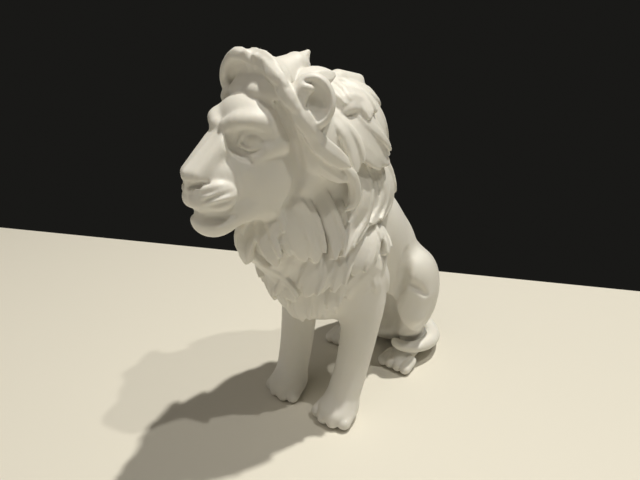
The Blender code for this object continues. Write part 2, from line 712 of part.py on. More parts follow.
# Locks of each side and of the chest: stops given as bearing from the front and height, then half width,
# lift and number of tips.
SIDE_LOCKS = (
    (((128, 120), (133, 111), (141, 103), (149, 95)), 3.6, 3.6, 3),
    (((122, 122), (120, 116), (112, 109)), 3.2, 3.0, 1),
    (((104, 122), (96, 118), (82, 113)), 3.0, 2.6, 1),
    (((86, 116), (98, 108), (116, 101), (138, 94)), 4.4, 4.0, 3),
    (((62, 113), (72, 107), (83, 102), (85, 95)), 3.2, 3.2, 1),
    (((12, 62), (8, 52), (3, 43)), 3.0, 2.6, 1),
    (((27, 62), (23, 54), (19, 46)), 3.0, 3.2, 1),
    (((44, 62), (37, 54), (31, 45)), 3.0, 2.4, 1),
    (((56, 60), (57, 53), (58, 46)), 2.8, 3.0, 1),
    (((70, 62), (64, 56), (55, 51)), 3.0, 3.4, 1),
    (((94, 68), (85, 59), (71, 54)), 3.6, 2.6, 3),
    (((116, 70), (103, 60), (88, 53)), 4.0, 3.2, 3),
    (((136, 72), (126, 62), (110, 54)), 4.0, 2.6, 3),
    (((24, 76), (10, 69), (-6, 60), (-14, 55)), 3.0, 3.4, 1),
    (((38, 76), (24, 66), (8, 59), (-1, 55)), 3.2, 2.4, 3),
    (((50, 74), (41, 65), (29, 57)), 3.2, 3.4, 3),
    (((80, 78), (64, 70), (52, 64), (46, 58)), 3.2, 2.8, 1),
    (((98, 78), (85, 70), (72, 66), (57, 58)), 3.0, 3.8, 1),
    (((118, 84), (106, 75), (95, 68), (87, 62)), 4.2, 2.8, 3),
    (((140, 82), (130, 74), (114, 66)), 3.8, 3.4, 3),
    (((-6, 90), (-10, 84), (-13, 77)), 2.8, 2.6, 1),
    (((-2, 86), (5, 79), (10, 71)), 2.8, 3.8, 1),
    (((14, 90), (22, 81), (28, 70)), 3.8, 2.4, 3),
    (((26, 90), (33, 80), (38, 69)), 3.2, 3.2, 1),
    (((64, 88), (70, 80), (63, 72)), 2.4, 2.6, 1),
    (((41, 92), (52, 84), (58, 77), (55, 69)), 3.0, 4.6, 1),
    (((80, 86), (79, 78), (65, 70)), 2.6, 3.0, 1),
    (((92, 98), (104, 89), (92, 78), (66, 69)), 3.0, 5.0, 1),
    (((108, 96), (119, 86), (100, 77), (78, 70)), 2.8, 3.6, 1),
    (((120, 98), (134, 88), (130, 81), (108, 76)), 2.8, 4.2, 1),
    (((134, 100), (144, 90), (142, 82), (122, 75)), 3.4, 3.0, 3),
)
# How low the locks reach on the lion's right, where they are the same but for small differences.
LOWEST_ON_RIGHT = 51
# The locks of a clump: how far each lies to the side in half widths, how far it reaches and its width as
# shares of the middle one's, and how much higher it stands. The first is the strand along its edge.
CLUMP = ((-0.75, 0.88, 0.3, 0.8), (0.0, 1.0, 1.0, 0.0), (-0.9, 0.78, 0.6, -0.6), (0.9, 0.84, 0.6, -0.6))


def leaving(centre, aim):
    """Where a ray from inside the mane leaves its bulk."""
    centre, reach = np.array(centre, float), 0.0
    for _ in range(24):
        reach = max(reach - 0.9 * mane_distance((centre + reach * aim)[None, :])[0], 0.0)
    return centre + reach * aim


def ring_root(centre, lean, angle):
    return leaving(centre, turn(x=-lean) @ np.array([math.sin(angle), 0, math.cos(angle)]))


def lock_over(here, height, wide):
    """A lock through places on the mane's bulk, sunk or raised by height at each."""
    share = np.linspace(0, 1, len(here))
    out = mane_facing(here)
    outline = np.interp(share, (0, 0.2, 0.55, 0.85, 1), (0.45, 0.8, 1.0, 0.68, 0.08))
    depth = np.interp(share, (0, 0.5, 0.85, 1), (1.0, 1.0, 0.8, 0.4))
    raised = here + height[:, None] * out
    under = 0.5 * np.maximum(height, 0) + 1.2
    return Lock(raised, out, wide * outline + THINNEST_TIP, 1.4 * depth, under, 1, 0.6)


def traced_lock(root, length, wide, lift, bend):
    """A lock from its root along the lie of the hair, sunk at the root and raised at the tip."""
    stops = 10
    step = length / (stops - 1)
    share = np.linspace(0, 1, stops)
    here = root[None, :]
    path = []
    for n in range(stops):
        path.append(here[0])
        out = mane_facing(here)
        lie = comb(here)
        lie = lie - (lie * out).sum(axis=1)[:, None] * out
        lie /= np.sqrt((lie**2).sum(axis=1))[:, None] + 1e-6
        across = np.cross(lie, out)
        heading = lie + bend * math.cos(2.8 * share[n]) * across
        here = here + step * heading / np.sqrt((heading**2).sum(axis=1))[:, None]
        here = here - mane_distance(here)[:, None] * mane_facing(here)
    return lock_over(np.array(path), np.interp(share, (0, 0.3, 1), (-2.2, 0.6, lift)), wide)


MANE_AXIS = (0.0, 2.0)


def on_mane(bearing, height):
    """The place on the mane's bulk at this bearing from the front, towards the left, and this height."""
    aim = np.array([math.sin(math.radians(bearing)), -math.cos(math.radians(bearing)), 0])
    return leaving((*MANE_AXIS, height), aim)


def placed_clump(stops, wide, lift, tips):
    """Locks side by side with tips at different heights, through stops given as bearing and height."""
    path = smooth_path([(bearing, height, 0) for bearing, height in stops], 4)
    places = np.array([on_mane(bearing, height) for bearing, height, _ in path])
    ahead = np.gradient(places, axis=0)
    across = np.cross(ahead / np.sqrt((ahead**2).sum(axis=1))[:, None], mane_facing(places))
    share = np.linspace(0, 1, len(path))
    forms = []
    for aside, reach, size, more in CLUMP[: tips + 1]:
        moved = places + aside * wide * across
        trimmed = np.stack([np.interp(reach * share, share, moved[:, n]) for n in range(3)], axis=1)
        trimmed = trimmed - mane_distance(trimmed)[:, None] * mane_facing(trimmed)
        height = np.interp(share, (0, 0.3, 1), (-2.0, 0.8, lift + more))
        forms.append((lock_over(trimmed, height, wide * size), 0.3))
    return forms


def bearing_of(point):
    return math.degrees(math.atan2(point[0] - MANE_AXIS[0], MANE_AXIS[1] - point[1]))


def back_locks():
    """Rows of locks over the crown and down the back of the mane."""
    forms = []
    chance = np.random.default_rng(5)
    for row, (centre, lean, first, last, count, length, wide, lift) in enumerate(ROWS):
        for n in range(count):
            place = (n + 0.5 + 0.35 * (row % 2) + chance.uniform(-0.2, 0.2)) / count
            angle = math.radians(first + (last - first) * place)
            root = ring_root(centre, lean + chance.uniform(-4, 4), angle)
            size, bend = chance.uniform(0.85, 1.15), chance.uniform(-0.4, 0.4)
            extra = chance.choice((-0.45, 0.45))
            if abs(bearing_of(root)) < ROWS_FROM or not outside_face(root[None, :])[0]:
                continue
            lock = traced_lock(root, length * size, wide * size, lift * size, bend)
            strand = traced_lock(root, 0.8 * length * size, 0.5 * wide, lift * size + 0.7, bend + extra)
            forms += [(lock, 0.4), (strand, 0.4)]
    return forms


def side_locks():
    forms = []
    chance = np.random.default_rng(11)
    for side, stray in ((1, 0.0), (-1, 1.0)):
        for stops, wide, lift, tips in SIDE_LOCKS:
            shift, rise = stray * chance.uniform(-3, 3), stray * chance.uniform(-1.5, 1.5)
            rise += stray * max(LOWEST_ON_RIGHT - stops[-1][1], 0)
            moved = [(side * (bearing + shift), height + rise) for bearing, height in stops]
            forms += placed_clump(moved, wide, lift, tips)
    return forms


# Hair that fills the hollow left under two locks on the lion's right.
UNDER_LOCKS = Egg((-15.8, 10.8, 96.3), (1.7, 4.6, 3.4))


def mane_locks():
    return back_locks() + side_locks() + [(UNDER_LOCKS, 0.5)]


def crown_tufts():
    """Tufts that stand out along the top of the mane, in the head's frame."""
    forms = [
        (Limb((0, 16, 13, 7.0), (0, 22.0, 16.6, 4.4), (0.4, 26.4, 20.8, 0.8)), 1.5),
        (Limb((0, 31, 9, 5.5), (0, 39, 12.4, 3.4), (0.5, 47.4, 12.0, 2.2)), 1.2),
    ]
    for root, middle, tip, wide in (
        ((6, 14, 9), (8, 21, 14), (9, 29, 15), 4.4),
        ((-6, 13, 9), (-8, 20, 15), (-9, 28, 17), 4.4),
        ((-6, 24, 6), (-8, 33, 11), (-9, 42, 9), 4.6),
        ((8, 26, 5), (11, 34, 8), (12, 43, 3), 4.8),
        ((2, 33, 2), (5, 41, 5), (6, 48, 0), 4.6),
    ):
        points = smooth_path((root, middle, tip), 4)
        share = np.linspace(0, 1, len(points))
        outline = np.interp(share, (0, 0.3, 0.7, 0.9, 1), (0.7, 1.0, 0.8, 0.5, 0.2))
        faces = [(0.1 * point[0], -0.3, 1.0) for point in points]
        forms.append((Lock(points, faces, wide * outline, 2.0 * outline + 0.3, 4.0 * outline, 2, 0.4), 0.5))
    return forms


def sculpt(pitch, low=(-36, -58, -3), high=(36, 92, 142)):
    clay = Clay(low, high, pitch)
    for form, blend in torso() + hind_legs() + fore_legs() + tail():
        clay.add(form, blend)
    for form, blend in leg_folds():
        clay.cut(form, blend)
    for form, blend in mane_mass():
        clay.add(form, max(blend, 3), 5)
    for form, blend in elbow_tufts():
        clay.add(form, blend, 2)
    for form, blend in mane_locks():
        clay.add(form, blend, 2)
    for form, blend in in_world(face()):
        clay.add(form, max(blend, 0.6), 4)
    for form, blend in in_world(face_cuts()):
        clay.cut(form, blend)
    for form, blend in in_world(eyes()):
        clay.add(form, blend, 2)
    for form, blend in in_world(fine_cuts()):
        clay.cut(form, blend)
    ear_forms, ear_cuts = ears()
    for form, blend in in_world(ear_forms):
        clay.add(form, blend, 2)
    for form, blend in in_world(ear_cuts):
        clay.cut(form, blend)
    for form, blend in in_world(ear_folds() + hood()):
        clay.add(form, blend, 3)
    for form, blend in in_world(furrow()):
        clay.cut(form, blend)
    for form, blend in in_world(crown_tufts() + rim_locks()):
        clay.add(form, blend, 3)
    clay.cut_flat(0.0)
    return clay


def new_object(name, points, faces):
    """An object of the largest piece of this mesh, flat underneath."""
    faces = largest_part(faces)
    used, places = np.unique(faces, return_inverse=True)
    points = points[used]
    points[points[:, 2] < BASE_SNAP, 2] = 0.0
    mesh = bpy.data.meshes.new(name)
    mesh.from_pydata(((points + FRONT_PAWS) * MM).tolist(), [], places.reshape(faces.shape).tolist())
    made = bpy.data.objects.new(name, mesh)
    bpy.context.collection.objects.link(made)
    return made


def simplified(name, points, faces, triangles):
    """The same form with fewer faces."""
    fine = new_object(name + " in full", points, faces)
    fewer = fine.modifiers.new("Fewer faces", "DECIMATE")
    fewer.ratio = min(1.0, triangles / (2 * len(fine.data.polygons)))
    found = fine.evaluated_get(bpy.context.evaluated_depsgraph_get()).data
    found.calc_loop_triangles()
    points = np.array([vertex.co for vertex in found.vertices]) / MM - FRONT_PAWS
    faces = np.array([triangle.vertices for triangle in found.loop_triangles])
    bpy.data.objects.remove(fine)
    return new_object(name, points, faces)


def white_plastic():
    plastic = bpy.data.materials.new("White plastic")
    plastic.use_nodes = True
    shader = plastic.node_tree.nodes["Principled BSDF"]
    shader.inputs["Base Color"].default_value = PLASTIC_COLOUR
    shader.inputs["Roughness"].default_value = 0.45
    shader.inputs["Metallic"].default_value = 0.0
    return plastic


def main():
    for old in list(bpy.data.objects):
        bpy.data.objects.remove(old)
    lion = simplified("lion", *skin(sculpt(GRID_PITCH)), MOST_TRIANGLES)
    lion.data.shade_smooth()
    lion.data.materials.append(white_plastic())


main()
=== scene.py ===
"""The look of a seated lion figurine printed in white plastic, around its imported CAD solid.

The figure is modelled again from the same forms as the solid, on a finer grid. Lengths are in
millimetres until the mesh is made. X is the lion's left, Y is its back and Z is up.
"""

import math

import bpy
import numpy as np
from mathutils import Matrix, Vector


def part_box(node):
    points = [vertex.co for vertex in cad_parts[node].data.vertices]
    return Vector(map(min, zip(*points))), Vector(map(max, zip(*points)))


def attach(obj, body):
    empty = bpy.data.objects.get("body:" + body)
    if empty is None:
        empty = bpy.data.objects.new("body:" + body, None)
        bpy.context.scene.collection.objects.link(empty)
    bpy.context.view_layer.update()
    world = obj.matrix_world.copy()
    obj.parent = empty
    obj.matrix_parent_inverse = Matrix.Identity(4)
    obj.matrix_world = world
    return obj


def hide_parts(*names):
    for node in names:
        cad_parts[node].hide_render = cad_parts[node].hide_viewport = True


MM = 0.001
# A distance beyond any form, and how far round the forms of each kind the clay is worked.
FAR = 30.0
BODY_REACH, MANE_REACH, HEAD_REACH, HOOD_REACH, DETAIL_REACH = 9.0, 5.0, 4.0, 3.0, 2.0
# The least width of the joins of the mane's bulk and of the face with what they are pressed on.
MANE_JOIN, FACE_JOIN = 3.0, 0.6
SLOPE_STEP = 0.2
FINE_PITCH = 0.45
FINE_TRIANGLES = 195000
# The point between the front paws where the modelling starts, seen from the middle of the base.
FRONT_PAWS = np.array([-0.03, -17.1, 0.0])

PLASTIC_COLOUR = (0.84, 0.82, 0.77, 1.0)
SHADE_COLOUR = (0.81, 0.79, 0.73, 1.0)
CLOUD_SCALE, CLOUD_DETAIL = 45.0, 3.0
CLOUD_EDGES = (0.35, 0.65)
ROUGHNESS = 0.48
LIGHT_THROUGH = 0.15
LIGHT_DEPTH = 0.0006
LIGHT_DEPTH_BY_COLOUR = (1.0, 0.85, 0.65)
LAYER_HEIGHT = 0.0002
LAYER_STRENGTH = 0.35
LAYER_DEPTH = 0.3
TABLE_COLOUR = (0.76, 0.73, 0.65, 1.0)
TABLE_ROUGHNESS = 0.6
TABLE_CORNERS = ((-0.18, -1.27), (1.132, -0.673), (0.635, 0.419), (-0.677, -0.178))
WORLD_COLOUR = (0.0097, 0.0095, 0.0085, 1.0)

LION_MIDDLE = Vector((0.0, 0.0, 0.065))
# Name of each lamp, direction from the lion, distance, width, power and colour.
LAMPS = (
    ("key light", (0.145, 0.195, 0.951), 1.2, 0.03, 11.4, (1.0, 0.965, 0.875)),
    ("second light", (0.40, 0.07, 0.90), 1.2, 0.025, 3.2, (1.0, 0.965, 0.875)),
    ("soft light", (-0.15, -0.5, 0.85), 1.3, 1.3, 4.0, (1.0, 0.92, 0.80)),
)
LENS = 27.0
SENSOR = 36.0
NEAREST_SEEN = 0.01
CAMERA_PLACE = (0.09555, -0.11648, 0.130)
CAMERA_TILT = 68.0
CAMERA_TURN = 38.1


def turn(x=0.0, y=0.0, z=0.0):
    """Rotation matrix of the angles in degrees, about X first, then Y, then Z."""
    a, b, c = (math.radians(angle) for angle in (x, y, z))
    about_x = np.array([[1, 0, 0], [0, math.cos(a), -math.sin(a)], [0, math.sin(a), math.cos(a)]])
    about_y = np.array([[math.cos(b), 0, math.sin(b)], [0, 1, 0], [-math.sin(b), 0, math.cos(b)]])
    about_z = np.array([[math.cos(c), -math.sin(c), 0], [math.sin(c), math.cos(c), 0], [0, 0, 1]])
    return about_z @ about_y @ about_x


def soft_min(a, b, blend):
    """The nearer of two surfaces, with a fillet about as wide as blend where they meet."""
    if blend <= 0:
        return np.minimum(a, b)
    overlap = np.maximum(blend - np.abs(a - b), 0.0) / blend
    return np.minimum(a, b) - overlap * overlap * (blend / 4)


class Egg:
    """An ellipsoid."""

    def __init__(self, centre, radii, rotation=None):
        self.centre = np.array(centre, float)
        self.radii = np.array(radii, float)
        self.axes = np.eye(3) if rotation is None else np.array(rotation, float)

    def mirrored(self):
        flip = np.diag([-1.0, 1.0, 1.0])
        return Egg(flip @ self.centre, self.radii, flip @ self.axes)

    def placed(self, rotation, origin):
        return Egg(rotation @ self.centre + origin, self.radii, rotation @ self.axes)

    def bounds(self):
        half = np.sqrt(((self.axes * self.radii) ** 2).sum(axis=1))
        return self.centre - half, self.centre + half

    def distance(self, x, y, z):
        dx, dy, dz = x - self.centre[0], y - self.centre[1], z - self.centre[2]
        near, steep = 0.0, 0.0
        for column, radius in zip(self.axes.T, self.radii):
            along = (dx * column[0] + dy * column[1] + dz * column[2]) / radius
            near = near + along * along
            steep = steep + along * along / radius**2
        near = np.sqrt(near)
        return near * (near - 1.0) / np.sqrt(steep + 1e-9)


class Limb:
    """A round limb through points, each with its own radius."""

    def __init__(self, *stops):
        self.points = np.array([stop[:3] for stop in stops], float)
        self.radii = np.array([stop[3] for stop in stops], float)

    def _like(self, points):
        return Limb(*np.column_stack([points, self.radii]))

    def mirrored(self):
        return self._like(self.points * [-1.0, 1.0, 1.0])

    def placed(self, rotation, origin):
        return self._like(self.points @ rotation.T + origin)

    def bounds(self):
        radii = self.radii[:, None]
        return (self.points - radii).min(axis=0), (self.points + radii).max(axis=0)

    def distance(self, x, y, z):
        nearest = None
        for i in range(len(self.points) - 1):
            a, b = self.points[i], self.points[i + 1]
            run = b - a
            dx, dy, dz = x - a[0], y - a[1], z - a[2]
            along = np.clip((dx * run[0] + dy * run[1] + dz * run[2]) / (run @ run), 0.0, 1.0)
            off = (dx - along * run[0]) ** 2 + (dy - along * run[1]) ** 2 + (dz - along * run[2]) ** 2
            far = np.sqrt(off) - (self.radii[i] + along * (self.radii[i + 1] - self.radii[i]))
            nearest = far if nearest is None else np.minimum(nearest, far)
        return nearest


def smooth_path(stops, pieces=5):
    """More stops along a smooth curve through these ones."""
    stops = np.array(stops, float)
    ends = np.vstack([2 * stops[0] - stops[1], stops, 2 * stops[-1] - stops[-2]])
    found = []
    for i in range(len(stops) - 1):
        a, b, c, d = ends[i : i + 4]
        for t in np.arange(pieces) / pieces:
            bend, twist = 2 * a - 5 * b + 4 * c - d, 3 * b - a - 3 * c + d
            found.append(0.5 * (2 * b + (c - a) * t + bend * t**2 + twist * t**3))
    found.append(stops[-1])
    return np.array(found)


class Lock:
    """A leaf-shaped lock of hair: a flat blade along points, with a pointed tip and grooves on its face."""

    def __init__(self, points, faces, wide, thick, under=None, strands=3, groove=0.3):
        self.points = np.array(points, float)
        self.faces = np.array(faces, float)
        self.wide = np.array(wide, float)
        self.thick = np.array(thick, float)
        self.under = self.thick if under is None else np.array(under, float)
        self.strands, self.groove = strands, groove

    def _like(self, points, faces):
        return Lock(points, faces, self.wide, self.thick, self.under, self.strands, self.groove)

    def mirrored(self):
        return self._like(self.points * [-1.0, 1.0, 1.0], self.faces * [-1.0, 1.0, 1.0])

    def placed(self, rotation, origin):
        return self._like(self.points @ rotation.T + origin, self.faces @ rotation.T)

    def bounds(self):
        widest = max(self.wide.max(), self.under.max())
        return self.points.min(axis=0) - widest, self.points.max(axis=0) + widest

    def frames(self):
        """Unit vectors along, out of and across the blade at each point."""
        ahead = np.gradient(self.points, axis=0)
        ahead /= np.sqrt((ahead**2).sum(axis=1))[:, None]
        out = self.faces - (self.faces * ahead).sum(axis=1)[:, None] * ahead
        out /= np.sqrt((out**2).sum(axis=1))[:, None]
        return ahead, out, np.cross(ahead, out)

    def nearest_place(self, x, y, z):
        """How far along the points, counted in points, the nearest place to each x, y, z is."""
        least, place = None, None
        for i in range(len(self.points) - 1):
            start, run = self.points[i], self.points[i + 1] - self.points[i]
            dx, dy, dz = x - start[0], y - start[1], z - start[2]
            share = np.clip((dx * run[0] + dy * run[1] + dz * run[2]) / (run @ run), 0.0, 1.0)
            off = (dx - share * run[0]) ** 2 + (dy - share * run[1]) ** 2 + (dz - share * run[2]) ** 2
            if least is None:
                least, place = off, i + share
            else:
                place = np.where(off < least, i + share, place)
                least = np.minimum(off, least)
        return place

    def distance(self, x, y, z):
        place = self.nearest_place(x, y, z)
        stops = np.arange(len(self.points))
        off = [axis - np.interp(place, stops, self.points[:, n]) for n, axis in enumerate((x, y, z))]

        def towards(vectors):
            return sum(off[n] * np.interp(place, stops, vectors[:, n]) for n in range(3))

        beyond, above, across = (towards(vectors) for vectors in self.frames())
        wide = np.interp(place, stops, self.wide)
        over, below = np.interp(place, stops, self.thick), np.interp(place, stops, self.under)
        thick = np.where(above > 0, over, below)
        across, above = across / wide, above / thick
        near = np.sqrt(across * across + above * above)
        far = near * (near - 1.0) / (np.sqrt((across / wide) ** 2 + (above / thick) ** 2) + 1e-6)
        if self.groove:
            comb = 0.5 - 0.5 * np.cos(math.pi * self.strands * (across + 1.0))
            far = far + self.groove * comb * np.clip(above, 0.0, 1.0)
        end = (place <= 0) | (place >= len(stops) - 1)
        beyond = np.where(end, np.abs(beyond), 0.0)
        return np.where(end, np.sqrt(np.maximum(far, 0.0) ** 2 + beyond * beyond), far).astype(np.float32)


class Cluster:
    """Forms joined softly among themselves, before they meet the rest."""

    def __init__(self, forms, blend):
        self.forms, self.blend = forms, blend

    def mirrored(self):
        return Cluster([form.mirrored() for form in self.forms], self.blend)

    def placed(self, rotation, origin):
        return Cluster([form.placed(rotation, origin) for form in self.forms], self.blend)

    def bounds(self):
        low, high = zip(*(form.bounds() for form in self.forms))
        return np.min(low, axis=0), np.max(high, axis=0)

    def distance(self, x, y, z):
        found = self.forms[0].distance(x, y, z)
        for form in self.forms[1:]:
            found = soft_min(found, form.distance(x, y, z), self.blend)
        return found


class Clay:
    """Distances to the surface on a regular grid: below zero is inside."""

    def __init__(self, low, high, pitch):
        self.low, self.pitch = np.array(low, float), pitch
        count = np.ceil((np.array(high) - self.low) / pitch).astype(int) + 1
        self.field = np.full(count, FAR, np.float32)

    def window(self, low, high):
        """The part of the grid over a box, as slices and the coordinates of its points."""
        first = np.floor((low - self.low) / self.pitch).astype(int)
        last = np.ceil((high - self.low) / self.pitch).astype(int) + 1
        first, last = np.maximum(first, 0), np.minimum(last, self.field.shape)
        slices = tuple(slice(a, max(a, b)) for a, b in zip(first, last))
        lines = [
            (self.low[i] + self.pitch * np.arange(slices[i].start, slices[i].stop)).astype(np.float32)
            for i in range(3)
        ]
        return slices, lines[0][:, None, None], lines[1][None, :, None], lines[2][None, None, :]

    def add(self, form, blend=0.0, reach=BODY_REACH):
        low, high = form.bounds()
        slices, x, y, z = self.window(low - reach, high + reach)
        self.field[slices] = soft_min(self.field[slices], form.distance(x, y, z), blend)

    def cut(self, form, blend=0.0):
        low, high = form.bounds()
        slices, x, y, z = self.window(low - blend - 1.0, high + blend + 1.0)
        self.field[slices] = -soft_min(-self.field[slices], form.distance(x, y, z), blend)

    def cut_flat(self, height):
        """Leaves nothing below this height."""
        z = self.low[2] + self.pitch * np.arange(self.field.shape[2])
        self.field = np.maximum(self.field, (height - z).astype(np.float32)[None, None, :])


def fill_touching_corners(inside):
    """Fills grid points until no two filled ones touch only across a diagonal, so the skin is one sheet."""
    for _ in range(20):
        added = 0
        for axis_a, axis_b in ((0, 1), (0, 2), (1, 2)):
            a = np.moveaxis(inside, (axis_a, axis_b), (0, 1))
            p, q, r, s = a[:-1, :-1], a[1:, 1:], a[1:, :-1], a[:-1, 1:]
            first = p & q & ~r & ~s
            second = ~p & ~q & r & s
            added += int(first.sum() + second.sum())
            r |= first
            p |= second
        if not added:
            return


def skin(clay):
    """Points and four-sided faces of the surface where the distance is zero (surface nets)."""
    field = clay.field.copy()
    inside = field < 0
    whole = inside.copy()
    fill_touching_corners(whole)
    field[whole & ~inside] = -0.02 * clay.pitch
    inside = whole
    corners = np.array([(i, j, k) for i in (0, 1) for j in (0, 1) for k in (0, 1)])
    cells = tuple(n - 1 for n in inside.shape)
    filled = np.zeros(cells, np.int8)
    for i, j, k in corners:
        filled += inside[i : cells[0] + i, j : cells[1] + j, k : cells[2] + k]
    where = np.argwhere((filled > 0) & (filled < 8))
    number = np.full(cells, -1, np.int64)
    number[tuple(where.T)] = np.arange(len(where))
    values = np.stack([field[tuple((where + corner).T)] for corner in corners], axis=1)
    total, hits = np.zeros((len(where), 3)), np.zeros(len(where))
    for a in range(8):
        for b in range(a + 1, 8):
            if np.abs(corners[a] - corners[b]).sum() != 1:
                continue
            crosses = (values[:, a] < 0) != (values[:, b] < 0)
            share = values[crosses, a] / (values[crosses, a] - values[crosses, b])
            total[crosses] += corners[a] + share[:, None] * (corners[b] - corners[a])
            hits[crosses] += 1
    points = clay.low + clay.pitch * (where + total / hits[:, None])
    faces = []
    for axis in range(3):
        along = np.moveaxis(inside, axis, 0)
        flips = np.argwhere(along[1:] != along[:-1])
        side_b, side_c = (axis + 1) % 3, (axis + 2) % 3
        place = np.empty_like(flips)
        others = [n for n in range(3) if n != axis]
        place[:, axis], place[:, others[0]], place[:, others[1]] = flips.T
        step_b, step_c = np.eye(3, dtype=int)[side_b], np.eye(3, dtype=int)[side_c]
        around = [place - step_b - step_c, place - step_c, place, place - step_b]
        quads = np.stack([number[tuple(cell.T)] for cell in around], axis=1)
        outward = inside[tuple(place.T)]
        faces.append(np.where(outward[:, None], quads, quads[:, ::-1]))
    return points, np.concatenate(faces)


def largest_part(faces):
    """The faces of the largest piece of a closed mesh, leaving out bubbles and crumbs."""
    corners = faces.shape[1]
    ends = np.concatenate([faces[:, [n, (n + 1) % corners]] for n in range(corners)])
    ends.sort(axis=1)
    order = np.lexsort(ends.T)
    first, second = (order % len(faces)).reshape(-1, 2).T
    label = np.arange(len(faces))
    while True:
        before = label.copy()
        least = np.minimum(label[first], label[second])
        np.minimum.at(label, first, least)
        np.minimum.at(label, second, least)
        label = label[label]
        if (label == before).all():
            break
    return faces[label == np.bincount(label).argmax()]


# The lion's head is modelled looking straight ahead, with the origin midway between its eyes.
HEAD_PLACE = np.array([-4.7, -26.6, 107.6])
HEAD_TURN = turn(z=-10.0)


def pair(form):
    return [form, form.mirrored()]


def in_world(forms):
    return [(form.placed(HEAD_TURN, HEAD_PLACE), blend) for form, blend in forms]


def torso():
    """Body masses from the shoulders to the rump, each with the width of its join."""
    forms = [
        (Egg((0, 9, 58), (16, 17, 22)), 0),
        (Egg((0, 27, 68), (15, 18, 17), turn(x=-40)), 8),
        (Egg((0, 42.5, 52), (16.5, 29.5, 18), turn(x=-52)), 8),
        (Egg((0, 57.5, 27), (16.5, 16, 25)), 8),
    ]
    for side in pair(Egg((13, 12.5, 56), (6.6, 10.5, 18), turn(x=8, y=-6))):
        forms.append((side, 6))
    return forms


def hind_legs():
    forms = []
    for haunch in pair(Egg((14.4, 52, 31), (9, 16, 18.5), turn(x=-18))):
        forms.append((haunch, 8))
    for thigh in pair(Egg((18.5, 47.5, 42), (6.2, 8.5, 10.5), turn(x=20))):
        forms.append((thigh, 6))
    for knee in pair(Limb((18.2, 45.5, 36, 6.2), (18.6, 43.5, 28, 5.4))):
        forms.append((knee, 3))
    for shank in pair(Limb((14.0, 45, 27, 5.0), (13.5, 50, 18, 4.8), (13.5, 57, 9, 4.6))):
        forms.append((shank, 2))
    for side in pair(Limb((14.5, 60, 5.4, 5.0), (14.6, 49, 4.2, 4.4), (14.6, 43, 3.6, 4.2))):
        forms.append((side, 3))
    for across in (-4.8, -1.6, 1.6, 4.8):
        for toe in pair(Limb((14.8 + across, 44.0, 3.6, 2.4), (14.4 + across * 1.1, 38.8, 2.6, 2.4))):
            forms.append((toe, 0.4))
    return forms


# Cuts round each thigh: the hollow before the haunch, the crease over the knee and the hollow below.
LEG_FOLDS = (
    (((16.8, 39.0, 56, 0.6), (16.6, 38.0, 48, 1.2), (15.9, 37.6, 42, 1.4), (14.0, 36.6, 34, 1.0)), 3.0),
    (((17.0, 37.4, 45, 0.8), (19.4, 37.8, 43.6, 1.1), (22.4, 40, 41.4, 1.1), (24.4, 43, 38, 0.4)), 2.0),
    (
        ((9, 36.5, 34, 3), (10.5, 37.2, 28, 5), (13.5, 38, 22, 4.6), (16.6, 42, 17, 3), (21, 47, 13, 1.6)),
        2.0,
    ),
)


BELLY_HOLLOW = Egg((0, 37, 24), (15, 16, 15.5))


def leg_folds():
    folds = [(side, blend) for stops, blend in LEG_FOLDS for side in pair(Limb(*stops))]
    return folds + [(BELLY_HOLLOW, 3)]


def tail():
    """The tail, round the left haunch and over the left hind foot."""
    path = smooth_path((
        (0, 71, 9, 4.2), (11, 73.5, 5.5, 3.6), (18.2, 67.0, 5.6, 3.4), (21.6, 58.0, 7.8, 3.1),
        (21.0, 50.5, 8.8, 2.7), (18.0, 44.2, 10.0, 2.4), (14.4, 40.8, 12.0, 2.2), (11.6, 39.6, 15.2, 0.8),
    ))
    return [(Limb(*path), 1.0)]


# The fore legs from the shoulder to the wrist. The right one stands a little further in.
LEFT_LEG = ((14.2, 11.2, 54, 8.0), (15.2, 10.6, 42, 7.1), (14.2, 6.8, 22, 6.1), (12.8, 3, 9, 6.2))
RIGHT_LEG = ((-13.4, 11.2, 54, 8.0), (-13.6, 10.6, 42, 7.3), (-12.6, 6.6, 22, 6.5), (-12.4, 3, 9, 6.2))


def fore_legs():
    forms = [(Limb(*smooth_path(leg, 3)), 5) for leg in (LEFT_LEG, RIGHT_LEG)]
    for side in pair(Egg((12.4, 0.5, 4.4), (7.4, 8.0, 5.4))):
        forms.append((side, 3))
    for across, ahead in ((-5.2, 1.4), (-1.9, 0), (1.8, 0.2), (5.2, 2.0)):
        for toe in pair(Limb((12.3 + across, 0, 4.4, 2.6), (12.1 + across * 1.08, -5.2 + ahead, 2.9, 2.6))):
            forms.append((toe, 0.4))
    return forms


def skull():
    """Cranium, forehead, cheeks and the underside of the jaw."""
    forms = [
        (Egg((0, 12, -4), (12.2, 14, 13)), 0),
        (Egg((0, 4.6, 2.9), (11.4, 7.9, 8.1)), 3),
        (Egg((0, 3, -19.5), (8, 9, 4.5)), 3),
    ]
    for cheek in pair(Egg((6.0, 6.8, -11.8), (6.6, 9.8, 10.6))):
        forms.append((cheek, 3))
    for jaw in pair(Limb((3.4, -4.0, -19.6, 3.6), (6.4, 4.5, -18.6, 4.4))):
        forms.append((jaw, 2.5))
    return forms


